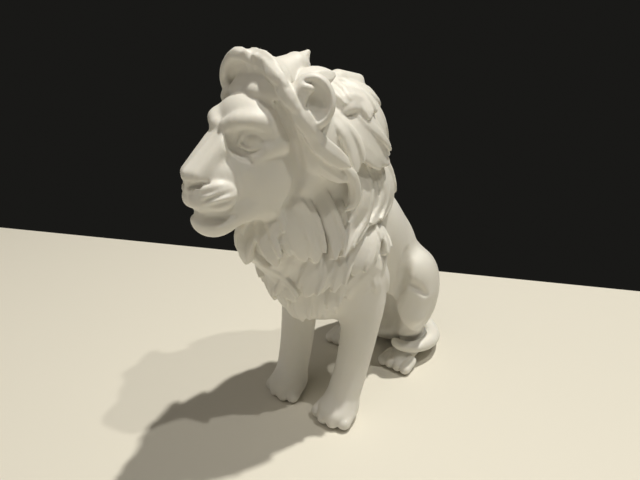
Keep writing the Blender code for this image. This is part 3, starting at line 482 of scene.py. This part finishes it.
def muzzle():
    """The bridge of the nose, the nose, the whisker pads and the chin."""
    forms = [(Egg((0, -4.5, -11.0), (7.8, 10.0, 8.4)), 3)]
    for across, tip in ((-2.8, -13.2), (0.0, -14.3), (2.8, -13.2)):
        forms.append((Limb((1.1 * across, -2.6, 0.4, 2.9), (0.9 * across, tip, -8.8, 2.4)), 1.2))
    for side in pair(Limb((4.2, -2.6, -4.8, 2.6), (6.0, -0.6, -8.4, 3.6))):
        forms.append((side, 1.6))
    forms.append((Egg((0, -12.6, -12.2), (4.8, 3.5, 4.4)), 0.8))
    for lip in pair(Egg((2.4, -12.0, -15.4), (3.4, 4.4, 3.6), turn(z=-30))):
        forms.append((lip, 0.6))
    for pad in pair(Egg((5.3, -9.5, -14.0), (4.2, 5.2, 4.5), turn(z=-22))):
        forms.append((pad, 0.5))
    forms.append((Egg((0, -8.6, -22.2), (6.8, 6.2, 5.2)), 1.2))
    for side in pair(Limb((3.6, -6.4, -21.6, 3.6), (5.4, -1.5, -19.6, 3.6))):
        forms.append((side, 1.5))
    return forms


def brows():
    ridge = ((2.4, -3.6, 3.0, 2.0), (5.8, -1.5, 4.1, 2.7), (8.6, 1.4, 4.2, 2.4), (10.2, 4.4, 3.4, 2.0))
    forms = [(side, 1.6) for side in pair(Limb(*smooth_path(ridge, 3)))]
    for temple in pair(Limb((8.4, 4.6, 4.4, 2.6), (10.0, 6.4, 1.0, 2.7), (10.8, 7.6, -1.8, 2.4))):
        forms.append((temple, 1.5))
    for cheekbone in pair(Limb((8.6, 0.6, -5.2, 1.8), (10.4, 3.4, -3.2, 2.0), (11.6, 7.6, -2.0, 1.8))):
        forms.append((cheekbone, 1.6))
    return forms


def face():
    """The head without its mane, in the head's own frame."""
    return skull() + muzzle() + brows()


def looking_out(across, ahead, up=0.0):
    """Axes of a form whose first radius points this way from the head."""
    aim = np.array([across, ahead, up]) / math.sqrt(across**2 + ahead**2 + up**2)
    side = np.cross([0, 0, 1], aim)
    side = side / math.sqrt(side @ side)
    return np.column_stack([aim, side, np.cross(aim, side)])


def face_cuts():
    """The hollows of the eyes."""
    cuts = []
    for socket in pair(Egg((9.1, -2.4, -0.9), (3.3, 5.4, 3.8), looking_out(0.72, -0.69))):
        cuts.append((socket, 1.0))
    inner = ((5.2, -5.0, 0.8, 1.3), (5.6, -4.6, -2.0, 1.3), (7.6, -2.6, -4.4, 1.2), (9.0, -1.0, -5.8, 0.5))
    for side in pair(Limb(*inner)):
        cuts.append((side, 0.8))
    return cuts


def eyes():
    forms = [(ball, 0.2) for ball in pair(Egg((6.2, 2.4, -0.5), (3.9, 3.9, 3.7)))]
    upper = (
        (5.6, -2.2, -1.0, 0.5), (6.6, -1.2, 1.3, 0.9), (8.0, 0.4, 2.1, 1.1), (9.8, 2.4, 1.0, 0.9),
        (11.0, 5.0, -0.7, 0.6),
    )
    lower = ((5.6, -2.2, -1.4, 0.5), (7.6, -0.8, -2.8, 0.6), (9.7, 1.6, -2.1, 0.6), (11.0, 5.0, -1.2, 0.6))
    for lid in pair(Limb(*smooth_path(upper, 3))) + pair(Limb(*smooth_path(lower, 3))):
        forms.append((lid, 0.4))
    return forms


# Heights of the whisker rows: where each starts, its middle and its end.
WHISKER_ROWS = ((-13.0, -11.6, -11.2), (-15.2, -13.3, -12.7), (-17.0, -15.6, -15.1))


def fine_cuts():
    """The nostrils and the edge of the nose, the split of the upper lip, the mouth and the whisker rows."""
    cuts = []
    for edge in pair(Limb((0, -17.3, -10.6, 0.6), (2.9, -15.2, -10.7, 0.7), (5.4, -12.2, -10.4, 0.6))):
        cuts.append((edge, 0.3))
    for nostril in pair(Limb((1.5, -15.4, -11.8, 0.6), (3.4, -13.6, -11.4, 0.9))):
        cuts.append((nostril, 0.4))
    cuts.append((Limb((0, -16.8, -13.6, 0.5), (0, -15.8, -19.4, 0.7)), 0.8))
    mouth = ((0, -15.6, -19.6, 1), (3.7, -13.8, -20.2, 1.3), (7, -8.9, -20.3, 1.2), (8.8, -5.8, -19.6, 0.7))
    for side in pair(Limb(*mouth)):
        cuts.append((side, 0.9))
    for corner in pair(Egg((7.8, -7.0, -19.9), (1.3, 1.4, 0.8))):
        cuts.append((corner, 0.5))
    for start, middle, end in WHISKER_ROWS:
        row = smooth_path(((5.3, -14.8, start, 0.3), (8.8, -11.0, middle, 0.5), (9.6, -6.6, end, 0.3)), 3)
        for side in pair(Limb(*row)):
            cuts.append((side, 1.0))
    return cuts


HAIRLINE = (
    (0, 3.6, 10.8), (4.5, 2.0, 10.9), (8.5, 4.8, 10.2), (10.8, 7.0, 7.7), (12, 8.3, 3.9),
    (12.6, 10.4, -1.5), (12.8, 11.6, -6), (13.2, 13.5, -9),
)
RIM = (
    (0, 5.3, 20.6), (5, 6.3, 19.4), (9.2, 6.9, 17.2), (12.4, 6.8, 14.2), (14.6, 7.4, 11.2),
    (15.8, 8.6, 8), (16.6, 10.8, 4.2), (17.4, 14.6, 0.6), (18.2, 18.8, -3.6), (19.4, 22.8, -8.4),
)
HOOD_STRANDS = 15


def along(curve, share):
    curve = np.array(curve, float)
    place = share * (len(curve) - 1)
    first = min(int(place), len(curve) - 2)
    return curve[first] + (place - first) * (curve[first + 1] - curve[first])


def hood():
    """The standing hair round the face: a hollow fan from the hairline to the rim, with hair behind it."""
    forms = []
    for n in range(HOOD_STRANDS):
        share = n / (HOOD_STRANDS - 1)
        root = along(HAIRLINE, share) + [0, 3.2, 0]
        tip = along(RIM, share)
        middle = 0.5 * (root + tip) + [0, 2.6, -0.8]
        inward = min(1.0, 2.5 * share)
        back = tip * [1 - 0.3 * inward, 1, 1] + [0, 7.0 - 4.0 * inward, -3.0]
        forms.append(Limb((*root, 2.6), (*middle, 2.1), (*tip, 1.0), (*back, 2.4 - 1.0 * inward)))
    return [(half, 0.5) for half in pair(Cluster(forms, 2.2))]


# The furrow between the face and the mane: places and radii from the temple to the jaw.
FURROW = (
    (9.4, 6.4, 9.8, 0.1), (10.6, 7.2, 8.6, 0.4), (11.6, 8.0, 6.6, 0.7),
    (12.4, 8.8, 4.0, 0.8), (13.2, 10.2, -1.4, 0.9), (13.4, 11.2, -4.5, 1.1), (13.4, 11.8, -8.5, 1.2),
    (12.9, 11.7, -12.8, 1.2), (11.9, 10.6, -17.2, 1.0), (10.9, 8.4, -20.8, 0.8),
)


def furrow():
    return [(side, 1.6) for side in pair(Limb(*FURROW))]


def leaf(stops, wide, facing, thick=1.2, tip=0.15, strands=2):
    """A lock through given stops that shows its flat side in one direction."""
    points = smooth_path(stops, 4)
    share = np.linspace(0, 1, len(points))
    outline = np.interp(share, (0, 0.25, 0.6, 0.85, 1), (0.6, 1.0, 1.0, 0.7, tip))
    above, under = thick * (0.4 + 0.6 * outline), 1.6 * thick * outline + 0.6
    return Lock(points, [facing] * len(points), wide * outline, above, under, strands, 0.3)


LEAF_FACING = (0.75, -0.6, 0.25)
ELBOW_TUFTS = (
    ((19.8, 12.0, 64), (21.6, 13.5, 57), (21.6, 16.4, 50.0)),
    ((20.0, 8.0, 63), (21.8, 8.8, 57), (21.6, 10.8, 51.0)),
)


def elbow_tufts():
    """Pointed hair over the outside of each elbow, in the frame of the body."""
    forms = []
    for stops in ELBOW_TUFTS:
        forms += [(lock, 0.6) for lock in pair(leaf(stops, 2.8, (1, 0, 0.1), 1.1, 0.2))]
    return forms


ROLL_OVER_PEAK = (
    (-10.4, 4.8, 10.8), (-10.9, 4.5, 14.6), (-9.2, 4.7, 18.0), (-5.4, 4.8, 20.5), (-2, 5.0, 20.5),
    (0.8, 5.4, 19.4), (3.0, 5.8, 17.2),
)
NEAR_ROLL = ((-1.5, 7.6, 20.8), (4.2, 7.0, 19.4), (8.2, 7.2, 17.2), (11.0, 7.2, 14.4), (12.6, 7.6, 11.2))
RIM_STEPS = (
    ((7.0, 6.4, 18.4), (11.2, 6.4, 15.6), (14.4, 7.4, 12.8)),
    ((11.6, 6.8, 14.0), (14.6, 7.4, 10.4), (16.2, 9.6, 6.6)),
)
FAR_END = ((-9.4, 5.4, 12.0), (-10.0, 4.0, 9.8), (-9.4, 3.2, 7.4))
UPPER_LEAF = ((14.6, 9.2, 8.2), (16.4, 11.4, 4.2), (17.4, 13.8, 0.8), (18.0, 16.0, -2.6))
LOWER_LEAF = ((16.6, 12.6, 0.6), (18.4, 16.4, -3.2), (19.6, 20.4, -6.4), (20.8, 24.4, -9.4))
UNDER_LEAF = ((14.6, 13.2, -4.2), (16.2, 17.8, -8.8), (17.6, 21.8, -11.8), (18.6, 25.2, -14.2))
CURL = (
    (18.2, 23.6, -9.0), (18.8, 26.8, -12.6), (18.8, 28.6, -17.2), (18.4, 28.6, -21.2), (17.0, 26.2, -23.8),
)


def rim_locks():
    """Broad locks folded over the hood's rim, and the leaves and curl that end it below the ear."""
    ahead = (0.3, -0.85, 0.45)
    forms = [
        (leaf(ROLL_OVER_PEAK, 2.0, (0, -0.75, 0.65), 1.3), 0.6),
        (leaf(FAR_END, 1.5, (0, -1, 0.2)), 0.3),
    ]
    for lock in pair(leaf(NEAR_ROLL, 2.4, ahead, 1.3)):
        forms.append((lock, 0.5))
    for stops in RIM_STEPS:
        for lock in pair(leaf(stops, 2.0, (0.5, -0.7, 0.5), 1.2, 0.35)):
            forms.append((lock, 0.3))
    for lock in pair(leaf(UNDER_LEAF, 2.4, (0.85, -0.4, -0.3))):
        forms.append((lock, 0.3))
    for lock in pair(leaf(LOWER_LEAF, 2.7, LEAF_FACING, 1.5)):
        forms.append((lock, 0.3))
    for lock in pair(leaf(UPPER_LEAF, 2.7, LEAF_FACING, 1.8, 0.5)):
        forms.append((lock, 0.3))
    for lock in pair(leaf(CURL, 1.9, LEAF_FACING, 1.5)):
        forms.append((lock, 0.4))
    return forms


def ears():
    forms, cuts = [], []
    axes = looking_out(0.78, -0.62, 0.14)
    facing = axes[:, 0]
    centre = np.array([16.4, 14.0, 8.9])
    for ear in pair(Egg(centre, (3.0, 6.3, 7.4), axes)):
        forms.append((ear, 0.6))
    for back in pair(Limb((13, 18.6, 6.4, 4.5), (15.8, 15.8, 7.8, 4.0))):
        forms.append((back, 1.5))
    for cup in pair(Egg(centre + 2.6 * facing, (3.2, 5.0, 6.0), axes)):
        cuts.append((cup, 0.5))
    return forms, cuts


def ear_folds():
    """The two folds of fur inside each ear."""
    forms = []
    for fold in pair(Limb((14.6, 10.4, 11.1, 1.2), (15.4, 11.6, 12.7, 1.2), (17.2, 13.0, 12.3, 0.8))):
        forms.append((fold, 0.8))
    for fold in pair(Limb((15.2, 11.0, 7.1, 1.0), (15.6, 11.8, 10.1, 1.2), (16.4, 13.0, 12.3, 0.9))):
        forms.append((fold, 0.8))
    return forms


def mane_mass():
    """The bulk under the locks."""
    return [
        (Egg((0, 20, -4), (16.5, 14.5, 17)).placed(HEAD_TURN, HEAD_PLACE), 0),
        (Egg((0, 15, -13), (14, 8, 12)).placed(HEAD_TURN, HEAD_PLACE), 3),
        (Egg((0, 10.5, 103.5), (15.5, 15.0, 17.5)), 6),
        (Egg((0, 7, 88), (16.5, 17, 21)), 6),
        (Egg((0, 20, 84), (15.0, 11.5, 16.5)), 6),
        (Egg((-1.5, -7.5, 80), (12.0, 11, 15.5)), 6),
        (Egg((-2.5, -12.5, 76.5), (11, 11.5, 12.0)), 5),
        (Egg((-0.5, -1.5, 65), (14, 13, 16.5)), 6),
        (Egg((0, 0, 54), (11, 10, 12)), 6),
        (Egg((0, 9.5, 64), (20.6, 12.5, 18)), 5),
    ]


def mane_distance(points):
    """Distance of single points to the mane's bulk."""
    x, y, z = points.T
    found = None
    for form, blend in mane_mass():
        far = form.distance(x, y, z)
        found = far if found is None else soft_min(found, far, blend)
    return found


def mane_facing(points):
    """Outward direction of the mane's bulk at points."""
    steps = SLOPE_STEP * np.eye(3)
    slopes = [mane_distance(points + step) - mane_distance(points - step) for step in steps]
    slopes = np.stack(slopes, axis=1)
    return slopes / np.sqrt((slopes**2).sum(axis=1))[:, None]


def comb(points):
    """The way the hair lies at points: back over the crown, down the sides and the chest."""
    height = np.clip((points[:, 2] - 86) / 32, 0.0, 1.0)[:, None]
    back = np.array([0, 1.0, -0.25])
    down = np.array([0, -0.05, -1.0])
    return height * back + (1 - height) * down


def in_head(points):
    return (points - HEAD_PLACE) @ HEAD_TURN


def outside_face(points):
    local = in_head(points)
    x, y, z = local.T
    far = np.min([form.distance(x, y, z) for form, _ in face()], axis=0)
    fringe = (z > 3) & (y < 13)
    return (far > 0.8) & ~fringe


# What a lock's half width never falls below, so that its tip is as thick as a printed line.
THINNEST_TIP = 0.35
# Rows of locks on the crown and back: centre and lean of the ring, first and last angle, number, length,
# half width, lift.
ROWS = (
    ((-2, -13, 101), 4, -128, 128, 13, 31, 5.6, 4.2),
    ((0, -1, 98), 22, -125, 125, 12, 31, 5.8, 3.8),
    ((0, 7, 92), 46, -120, 120, 11, 28, 5.8, 3.2),
    ((0, 9, 83), 64, -115, 115, 10, 24, 5.2, 2.6),
)
# Where the rows stop on each side: nearer to the front, each lock is listed one by one.
ROWS_FROM = 122

# Locks of each side and of the chest: stops given as bearing from the front and height, then half width,
# lift and number of tips.
SIDE_LOCKS = (
    (((128, 120), (133, 111), (141, 103), (149, 95)), 3.6, 3.6, 3),
    (((122, 122), (120, 116), (112, 109)), 3.2, 3.0, 1),
    (((104, 122), (96, 118), (82, 113)), 3.0, 2.6, 1),
    (((86, 116), (98, 108), (116, 101), (138, 94)), 4.4, 4.0, 3),
    (((62, 113), (72, 107), (83, 102), (85, 95)), 3.2, 3.2, 1),
    (((12, 62), (8, 52), (3, 43)), 3.0, 2.6, 1),
    (((27, 62), (23, 54), (19, 46)), 3.0, 3.2, 1),
    (((44, 62), (37, 54), (31, 45)), 3.0, 2.4, 1),
    (((56, 60), (57, 53), (58, 46)), 2.8, 3.0, 1),
    (((70, 62), (64, 56), (55, 51)), 3.0, 3.4, 1),
    (((94, 68), (85, 59), (71, 54)), 3.6, 2.6, 3),
    (((116, 70), (103, 60), (88, 53)), 4.0, 3.2, 3),
    (((136, 72), (126, 62), (110, 54)), 4.0, 2.6, 3),
    (((24, 76), (10, 69), (-6, 60), (-14, 55)), 3.0, 3.4, 1),
    (((38, 76), (24, 66), (8, 59), (-1, 55)), 3.2, 2.4, 3),
    (((50, 74), (41, 65), (29, 57)), 3.2, 3.4, 3),
    (((80, 78), (64, 70), (52, 64), (46, 58)), 3.2, 2.8, 1),
    (((98, 78), (85, 70), (72, 66), (57, 58)), 3.0, 3.8, 1),
    (((118, 84), (106, 75), (95, 68), (87, 62)), 4.2, 2.8, 3),
    (((140, 82), (130, 74), (114, 66)), 3.8, 3.4, 3),
    (((-6, 90), (-10, 84), (-13, 77)), 2.8, 2.6, 1),
    (((-2, 86), (5, 79), (10, 71)), 2.8, 3.8, 1),
    (((14, 90), (22, 81), (28, 70)), 3.8, 2.4, 3),
    (((26, 90), (33, 80), (38, 69)), 3.2, 3.2, 1),
    (((64, 88), (70, 80), (63, 72)), 2.4, 2.6, 1),
    (((41, 92), (52, 84), (58, 77), (55, 69)), 3.0, 4.6, 1),
    (((80, 86), (79, 78), (65, 70)), 2.6, 3.0, 1),
    (((92, 98), (104, 89), (92, 78), (66, 69)), 3.0, 5.0, 1),
    (((108, 96), (119, 86), (100, 77), (78, 70)), 2.8, 3.6, 1),
    (((120, 98), (134, 88), (130, 81), (108, 76)), 2.8, 4.2, 1),
    (((134, 100), (144, 90), (142, 82), (122, 75)), 3.4, 3.0, 3),
)
# How low the locks reach on the lion's right, where they are the same but for small differences.
LOWEST_ON_RIGHT = 51
# The locks of a clump: how far each lies to the side in half widths, how far it reaches and its width as
# shares of the middle one's, and how much higher it stands. The first is the strand along its edge.
CLUMP = ((-0.75, 0.88, 0.3, 0.8), (0.0, 1.0, 1.0, 0.0), (-0.9, 0.78, 0.6, -0.6), (0.9, 0.84, 0.6, -0.6))


def leaving(centre, aim):
    """Where a ray from inside the mane leaves its bulk."""
    centre, reach = np.array(centre, float), 0.0
    for _ in range(24):
        reach = max(reach - 0.9 * mane_distance((centre + reach * aim)[None, :])[0], 0.0)
    return centre + reach * aim


def ring_root(centre, lean, angle):
    return leaving(centre, turn(x=-lean) @ np.array([math.sin(angle), 0, math.cos(angle)]))


def lock_over(here, height, wide):
    """A lock through places on the mane's bulk, sunk or raised by height at each."""
    share = np.linspace(0, 1, len(here))
    out = mane_facing(here)
    outline = np.interp(share, (0, 0.2, 0.55, 0.85, 1), (0.45, 0.8, 1.0, 0.68, 0.08))
    depth = np.interp(share, (0, 0.5, 0.85, 1), (1.0, 1.0, 0.8, 0.4))
    raised = here + height[:, None] * out
    under = 0.5 * np.maximum(height, 0) + 1.2
    return Lock(raised, out, wide * outline + THINNEST_TIP, 1.4 * depth, under, 1, 0.6)


def traced_lock(root, length, wide, lift, bend):
    """A lock from its root along the lie of the hair, sunk at the root and raised at the tip."""
    stops = 10
    step = length / (stops - 1)
    share = np.linspace(0, 1, stops)
    here = root[None, :]
    path = []
    for n in range(stops):
        path.append(here[0])
        out = mane_facing(here)
        lie = comb(here)
        lie = lie - (lie * out).sum(axis=1)[:, None] * out
        lie /= np.sqrt((lie**2).sum(axis=1))[:, None] + 1e-6
        across = np.cross(lie, out)
        heading = lie + bend * math.cos(2.8 * share[n]) * across
        here = here + step * heading / np.sqrt((heading**2).sum(axis=1))[:, None]
        here = here - mane_distance(here)[:, None] * mane_facing(here)
    return lock_over(np.array(path), np.interp(share, (0, 0.3, 1), (-2.2, 0.6, lift)), wide)


MANE_AXIS = (0.0, 2.0)


def on_mane(bearing, height):
    """The place on the mane's bulk at this bearing from the front, towards the left, and this height."""
    aim = np.array([math.sin(math.radians(bearing)), -math.cos(math.radians(bearing)), 0])
    return leaving((*MANE_AXIS, height), aim)


def placed_clump(stops, wide, lift, tips):
    """Locks side by side with tips at different heights, through stops given as bearing and height."""
    path = smooth_path([(bearing, height, 0) for bearing, height in stops], 4)
    places = np.array([on_mane(bearing, height) for bearing, height, _ in path])
    ahead = np.gradient(places, axis=0)
    across = np.cross(ahead / np.sqrt((ahead**2).sum(axis=1))[:, None], mane_facing(places))
    share = np.linspace(0, 1, len(path))
    forms = []
    for aside, reach, size, more in CLUMP[: tips + 1]:
        moved = places + aside * wide * across
        trimmed = np.stack([np.interp(reach * share, share, moved[:, n]) for n in range(3)], axis=1)
        trimmed = trimmed - mane_distance(trimmed)[:, None] * mane_facing(trimmed)
        height = np.interp(share, (0, 0.3, 1), (-2.0, 0.8, lift + more))
        forms.append((lock_over(trimmed, height, wide * size), 0.3))
    return forms


def bearing_of(point):
    return math.degrees(math.atan2(point[0] - MANE_AXIS[0], MANE_AXIS[1] - point[1]))


def back_locks():
    """Rows of locks over the crown and down the back of the mane."""
    forms = []
    chance = np.random.default_rng(5)
    for row, (centre, lean, first, last, count, length, wide, lift) in enumerate(ROWS):
        for n in range(count):
            place = (n + 0.5 + 0.35 * (row % 2) + chance.uniform(-0.2, 0.2)) / count
            angle = math.radians(first + (last - first) * place)
            root = ring_root(centre, lean + chance.uniform(-4, 4), angle)
            size, bend = chance.uniform(0.85, 1.15), chance.uniform(-0.4, 0.4)
            extra = chance.choice((-0.45, 0.45))
            if abs(bearing_of(root)) < ROWS_FROM or not outside_face(root[None, :])[0]:
                continue
            lock = traced_lock(root, length * size, wide * size, lift * size, bend)
            strand = traced_lock(root, 0.8 * length * size, 0.5 * wide, lift * size + 0.7, bend + extra)
            forms += [(lock, 0.4), (strand, 0.4)]
    return forms


def side_locks():
    forms = []
    chance = np.random.default_rng(11)
    for side, stray in ((1, 0.0), (-1, 1.0)):
        for stops, wide, lift, tips in SIDE_LOCKS:
            shift, rise = stray * chance.uniform(-3, 3), stray * chance.uniform(-1.5, 1.5)
            rise += stray * max(LOWEST_ON_RIGHT - stops[-1][1], 0)
            moved = [(side * (bearing + shift), height + rise) for bearing, height in stops]
            forms += placed_clump(moved, wide, lift, tips)
    return forms


# Hair that fills the hollow left under two locks on the lion's right.
UNDER_LOCKS = Egg((-15.8, 10.8, 96.3), (1.7, 4.6, 3.4))


def mane_locks():
    return back_locks() + side_locks() + [(UNDER_LOCKS, 0.5)]


def crown_tufts():
    """Tufts that stand out along the top of the mane, in the head's frame."""
    forms = [
        (Limb((0, 16, 13, 7.0), (0, 22.0, 16.6, 4.4), (0.4, 26.4, 20.8, 0.8)), 1.5),
        (Limb((0, 31, 9, 5.5), (0, 39, 12.4, 3.4), (0.5, 47.4, 12.0, 2.2)), 1.2),
    ]
    for root, middle, tip, wide in (
        ((6, 14, 9), (8, 21, 14), (9, 29, 15), 4.4),
        ((-6, 13, 9), (-8, 20, 15), (-9, 28, 17), 4.4),
        ((-6, 24, 6), (-8, 33, 11), (-9, 42, 9), 4.6),
        ((8, 26, 5), (11, 34, 8), (12, 43, 3), 4.8),
        ((2, 33, 2), (5, 41, 5), (6, 48, 0), 4.6),
    ):
        points = smooth_path((root, middle, tip), 4)
        share = np.linspace(0, 1, len(points))
        outline = np.interp(share, (0, 0.3, 0.7, 0.9, 1), (0.7, 1.0, 0.8, 0.5, 0.2))
        faces = [(0.1 * point[0], -0.3, 1.0) for point in points]
        forms.append((Lock(points, faces, wide * outline, 2.0 * outline + 0.3, 4.0 * outline, 2, 0.4), 0.5))
    return forms


def sculpt(pitch, low=(-36, -58, -3), high=(36, 92, 142)):
    clay = Clay(low, high, pitch)
    for form, blend in torso() + hind_legs() + fore_legs() + tail():
        clay.add(form, blend)
    for form, blend in leg_folds():
        clay.cut(form, blend)
    for form, blend in mane_mass():
        clay.add(form, max(blend, MANE_JOIN), MANE_REACH)
    for form, blend in elbow_tufts():
        clay.add(form, blend, DETAIL_REACH)
    for form, blend in mane_locks():
        clay.add(form, blend, DETAIL_REACH)
    for form, blend in in_world(face()):
        clay.add(form, max(blend, FACE_JOIN), HEAD_REACH)
    for form, blend in in_world(face_cuts()):
        clay.cut(form, blend)
    for form, blend in in_world(eyes()):
        clay.add(form, blend, DETAIL_REACH)
    for form, blend in in_world(fine_cuts()):
        clay.cut(form, blend)
    ear_forms, ear_cuts = ears()
    for form, blend in in_world(ear_forms):
        clay.add(form, blend, DETAIL_REACH)
    for form, blend in in_world(ear_cuts):
        clay.cut(form, blend)
    for form, blend in in_world(ear_folds() + hood()):
        clay.add(form, blend, HOOD_REACH)
    for form, blend in in_world(furrow()):
        clay.cut(form, blend)
    for form, blend in in_world(crown_tufts() + rim_locks()):
        clay.add(form, blend, HOOD_REACH)
    clay.cut_flat(0.0)
    return clay


def moved_in(points):
    """Points in the frame's metres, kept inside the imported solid's box."""
    low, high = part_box("lion")
    return np.clip((points + FRONT_PAWS) * MM, np.array(low), np.array(high))


def piece(name, clay, triangles):
    """A smooth mesh of the clay's skin, with its faces brought down to this many triangles."""
    points, faces = skin(clay)
    faces = largest_part(faces)
    used, places = np.unique(faces, return_inverse=True)
    mesh = bpy.data.meshes.new(name)
    mesh.from_pydata(moved_in(points[used]).tolist(), [], places.reshape(faces.shape).tolist())
    made = bpy.data.objects.new(name, mesh)
    bpy.context.collection.objects.link(made)
    fewer = made.modifiers.new("Fewer faces", "DECIMATE")
    fewer.ratio = min(1.0, triangles / (2 * len(mesh.polygons)))
    evaluated = made.evaluated_get(bpy.context.evaluated_depsgraph_get())
    made.data = bpy.data.meshes.new_from_object(evaluated)
    made.modifiers.clear()
    bpy.data.meshes.remove(mesh)
    made.data.name = name
    made.data.shade_smooth()
    return made


def node(tree, kind, **values):
    """A new node of the material, with its inputs set by name."""
    made = tree.nodes.new(kind)
    for name, value in values.items():
        made.inputs[name.replace("_", " ")].default_value = value
    return made


def white_plastic():
    """Printed plastic: off-white, satin, a little light through thin edges, in level layers."""
    plastic = bpy.data.materials.new("White plastic")
    plastic.use_nodes = True
    tree = plastic.node_tree
    shader = tree.nodes["Principled BSDF"]
    shader.inputs["Roughness"].default_value = ROUGHNESS
    shader.inputs["Subsurface Weight"].default_value = LIGHT_THROUGH
    shader.inputs["Subsurface Radius"].default_value = LIGHT_DEPTH_BY_COLOUR
    shader.inputs["Subsurface Scale"].default_value = LIGHT_DEPTH
    place = tree.nodes.new("ShaderNodeTexCoord")
    cloud = node(tree, "ShaderNodeTexNoise", Scale=CLOUD_SCALE, Detail=CLOUD_DETAIL)
    tint = tree.nodes.new("ShaderNodeValToRGB")
    for stop, edge, colour in zip(tint.color_ramp.elements, CLOUD_EDGES, (SHADE_COLOUR, PLASTIC_COLOUR)):
        stop.position, stop.color = edge, colour
    tree.links.new(place.outputs["Object"], cloud.inputs["Vector"])
    tree.links.new(cloud.outputs["Fac"], tint.inputs["Fac"])
    tree.links.new(tint.outputs["Color"], shader.inputs["Base Color"])
    split = tree.nodes.new("ShaderNodeSeparateXYZ")
    layer = tree.nodes.new("ShaderNodeMath")
    layer.operation = "PINGPONG"
    layer.inputs[1].default_value = LAYER_HEIGHT / 2
    bump = node(tree, "ShaderNodeBump", Strength=LAYER_STRENGTH, Distance=LAYER_DEPTH)
    tree.links.new(place.outputs["Object"], split.inputs["Vector"])
    tree.links.new(split.outputs["Z"], layer.inputs[0])
    tree.links.new(layer.outputs["Value"], bump.inputs["Height"])
    tree.links.new(bump.outputs["Normal"], shader.inputs["Normal"])
    return plastic


def plain(name, colour, roughness):
    """A material of one colour."""
    made = bpy.data.materials.new(name)
    made.use_nodes = True
    shader = made.node_tree.nodes["Principled BSDF"]
    shader.inputs["Base Color"].default_value = colour
    shader.inputs["Roughness"].default_value = roughness
    return made


def floor():
    """A pale table top whose far edge lies behind the lion."""
    corners = [(*corner, 0.0) for corner in TABLE_CORNERS]
    mesh = bpy.data.meshes.new("floor")
    mesh.from_pydata(corners, [], [tuple(range(len(corners)))])
    made = bpy.data.objects.new("floor", mesh)
    bpy.context.collection.objects.link(made)
    mesh.materials.append(plain("Pale table", TABLE_COLOUR, TABLE_ROUGHNESS))


def lamp(name, towards, distance, size, power, colour):
    """A soft square lamp that shines on the lion from this direction."""
    data = bpy.data.lights.new(name, "AREA")
    data.size, data.energy, data.color = size, power, colour
    made = bpy.data.objects.new(name, data)
    aim = Vector(towards).normalized()
    made.location = LION_MIDDLE + distance * aim
    made.rotation_euler = aim.to_track_quat("Z", "Y").to_euler()
    bpy.context.collection.objects.link(made)


def lights():
    """The lamps, and a dim surround that shows as a dark backdrop, in colours as a screen shows them."""
    for settings in LAMPS:
        lamp(*settings)
    world = bpy.data.worlds.new("Studio")
    world.use_nodes = True
    world.node_tree.nodes["Background"].inputs["Color"].default_value = WORLD_COLOUR
    bpy.context.scene.world = world
    bpy.context.scene.view_settings.view_transform = "Standard"


def camera():
    """The photograph's view: above the lion's front left, looking down a little."""
    data = bpy.data.cameras.new("camera")
    data.lens, data.sensor_width = LENS, SENSOR
    data.clip_start = NEAREST_SEEN
    made = bpy.data.objects.new("camera", data)
    made.location = Vector(FRONT_PAWS * MM) + Vector(CAMERA_PLACE)
    made.rotation_euler = (math.radians(CAMERA_TILT), 0.0, math.radians(CAMERA_TURN))
    bpy.context.collection.objects.link(made)
    bpy.context.scene.camera = made


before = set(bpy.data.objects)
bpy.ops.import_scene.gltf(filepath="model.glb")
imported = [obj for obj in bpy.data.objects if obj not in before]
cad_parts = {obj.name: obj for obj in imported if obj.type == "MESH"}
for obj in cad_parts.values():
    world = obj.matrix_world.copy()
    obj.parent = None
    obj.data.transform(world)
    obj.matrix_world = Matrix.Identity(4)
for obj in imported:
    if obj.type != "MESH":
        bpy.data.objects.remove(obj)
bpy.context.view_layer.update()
camera()
lion = piece("lion_figure", sculpt(FINE_PITCH), FINE_TRIANGLES)
lion.data.materials.append(white_plastic())
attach(lion, "root")
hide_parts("lion")
floor()
lights()
